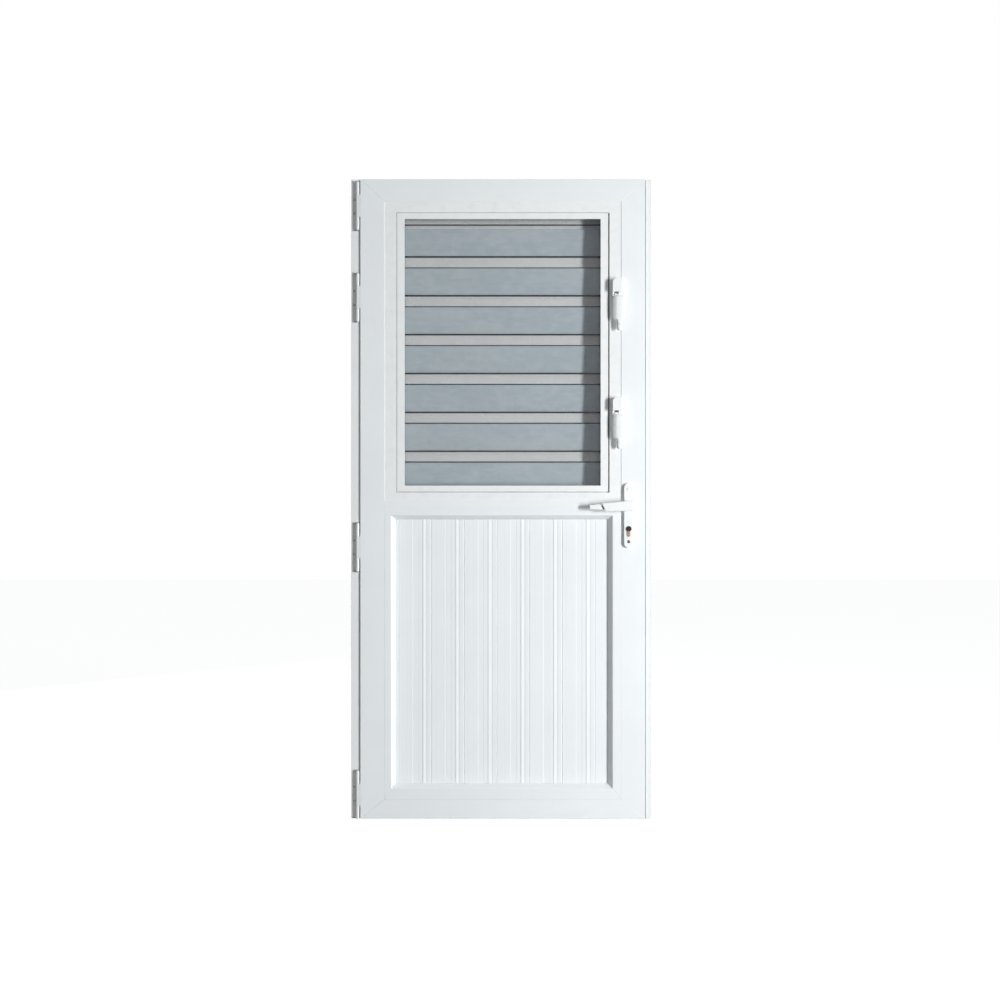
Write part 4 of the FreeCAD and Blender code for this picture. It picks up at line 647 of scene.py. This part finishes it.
CAMERA_TARGET = (-0.003, -0.045, 0.998)
CAMERA_DISTANCE = 4.0
CAMERA_SENSOR = 36.0         # millimetres
VIEW_WIDTH = 3.125           # width of the picture at the target
SKY_COLOUR = (0.93, 0.97, 1.0, 1)
SKY_LOW, SKY_HIGH = 0.25, 0.36
SKY_FROM, SKY_TO = -0.1, 0.9  # the directions between which the sky grows brighter
WHITE = (1, 1, 1, 1)
FLOOR_HALF = 12.0
FLOOR_Z = -0.0004            # just under the threshold, so that the two faces don't fight
FLOOR_BOUNCE = 0.26          # what the floor sends back to the object
FLOOR_SHADOWED = 0.20        # the part of its shown tone that a shadow can take away
FLOOR_GLOW = 0.91            # the part that it can't


def look_at(thing, target):
    thing.rotation_euler = (Vector(target) - thing.location).to_track_quat("-Z", "Y").to_euler()


def area_light(name, location, target, size, power, colour):
    data = bpy.data.lights.new(name, "AREA")
    data.shape = "RECTANGLE"
    data.size, data.size_y = size
    data.energy = power
    data.color = colour
    lamp = bpy.data.objects.new(name, data)
    scene.collection.objects.link(lamp)
    lamp.location = location
    look_at(lamp, target)


def make_camera():
    data = bpy.data.cameras.new("Camera")
    data.sensor_width = CAMERA_SENSOR
    data.lens = CAMERA_SENSOR * CAMERA_DISTANCE / VIEW_WIDTH
    data.clip_start, data.clip_end = 0.05, 100
    camera = bpy.data.objects.new("Camera", data)
    scene.collection.objects.link(camera)
    x, y, z = CAMERA_TARGET
    camera.location = (x, y - CAMERA_DISTANCE, z)
    look_at(camera, CAMERA_TARGET)
    scene.camera = camera


def plain_node(tree, kind, colour):
    made = tree.nodes.new(kind)
    made.inputs[0].default_value = colour
    return made


def split_by_ray(owner, output, lighting, shown):
    """Gives a material or world one shader for the light on the object, and another for what the
    camera sees, also in a mirror and through glass."""
    tree = owner.node_tree
    path = tree.nodes.new("ShaderNodeLightPath")
    seen = path.outputs["Is Camera Ray"]
    for kind in ("Is Glossy Ray", "Is Transmission Ray"):
        either = tree.nodes.new("ShaderNodeMath")
        either.operation = "MAXIMUM"
        tree.links.new(seen, either.inputs[0])
        tree.links.new(path.outputs[kind], either.inputs[1])
        seen = either.outputs[0]
    mix = tree.nodes.new("ShaderNodeMixShader")
    for index, socket in enumerate((seen, lighting, shown)):
        tree.links.new(socket, mix.inputs[index])
    tree.links.new(mix.outputs[0], tree.nodes.new(output).inputs[0])


def make_world():
    world = bpy.data.worlds.new("Studio")
    scene.world = world
    world.use_nodes = True
    tree = world.node_tree
    tree.nodes.clear()
    light = plain_node(tree, "ShaderNodeBackground", SKY_COLOUR)
    direction = tree.nodes.new("ShaderNodeTexCoord")
    height = tree.nodes.new("ShaderNodeSeparateXYZ")
    tree.links.new(direction.outputs["Generated"], height.inputs[0])
    level = tree.nodes.new("ShaderNodeMapRange")
    tree.links.new(height.outputs[2], level.inputs["Value"])
    for name, value in (("From Min", SKY_FROM), ("From Max", SKY_TO), ("To Min", SKY_LOW),
                        ("To Max", SKY_HIGH)):
        level.inputs[name].default_value = value
    tree.links.new(level.outputs[0], light.inputs[1])
    white = plain_node(tree, "ShaderNodeBackground", WHITE)
    white.inputs[1].default_value = 1.0
    split_by_ray(world, "ShaderNodeOutputWorld", light.outputs[0], white.outputs[0])


def make_floor():
    mesh = bpy.data.meshes.new("Studio_floor")
    half = FLOOR_HALF
    mesh.from_pydata([(-half, -half, 0), (half, -half, 0), (half, half, 0), (-half, half, 0)], [],
                     [(0, 1, 2, 3)])
    floor = bpy.data.objects.new("Studio_floor", mesh)
    scene.collection.objects.link(floor)
    floor.location.z = FLOOR_Z
    material = bpy.data.materials.new("Studio_floor")
    material.use_nodes = True
    tree = material.node_tree
    tree.nodes.clear()
    plain = plain_node(tree, "ShaderNodeBsdfDiffuse", (FLOOR_BOUNCE,) * 3 + (1,))
    shadowed = plain_node(tree, "ShaderNodeBsdfDiffuse", (FLOOR_SHADOWED,) * 3 + (1,))
    glow = plain_node(tree, "ShaderNodeEmission", WHITE)
    glow.inputs[1].default_value = FLOOR_GLOW
    bright = tree.nodes.new("ShaderNodeAddShader")
    tree.links.new(shadowed.outputs[0], bright.inputs[0])
    tree.links.new(glow.outputs[0], bright.inputs[1])
    split_by_ray(material, "ShaderNodeOutputMaterial", plain.outputs[0], bright.outputs[0])
    floor.data.materials.append(material)


make_camera()
make_world()
make_floor()
area_light("Window", (4.7, -4.8, 1.5), (0.0, 0.0, 0.9), (0.6, 0.8), 196, (0.975, 0.995, 1.0))
area_light("Doorway", (2.75, -2.85, 0.7), (0.1, 0.0, 0.6), (0.45, 0.9), 84, (0.965, 0.99, 1.0))
area_light("Yard", (-2.3, 2.5, 1.7), (0.0, 0.0, 1.0), (1.6, 1.8), 72, (0.96, 0.98, 1.0))
scene.view_settings.view_transform = "Standard"
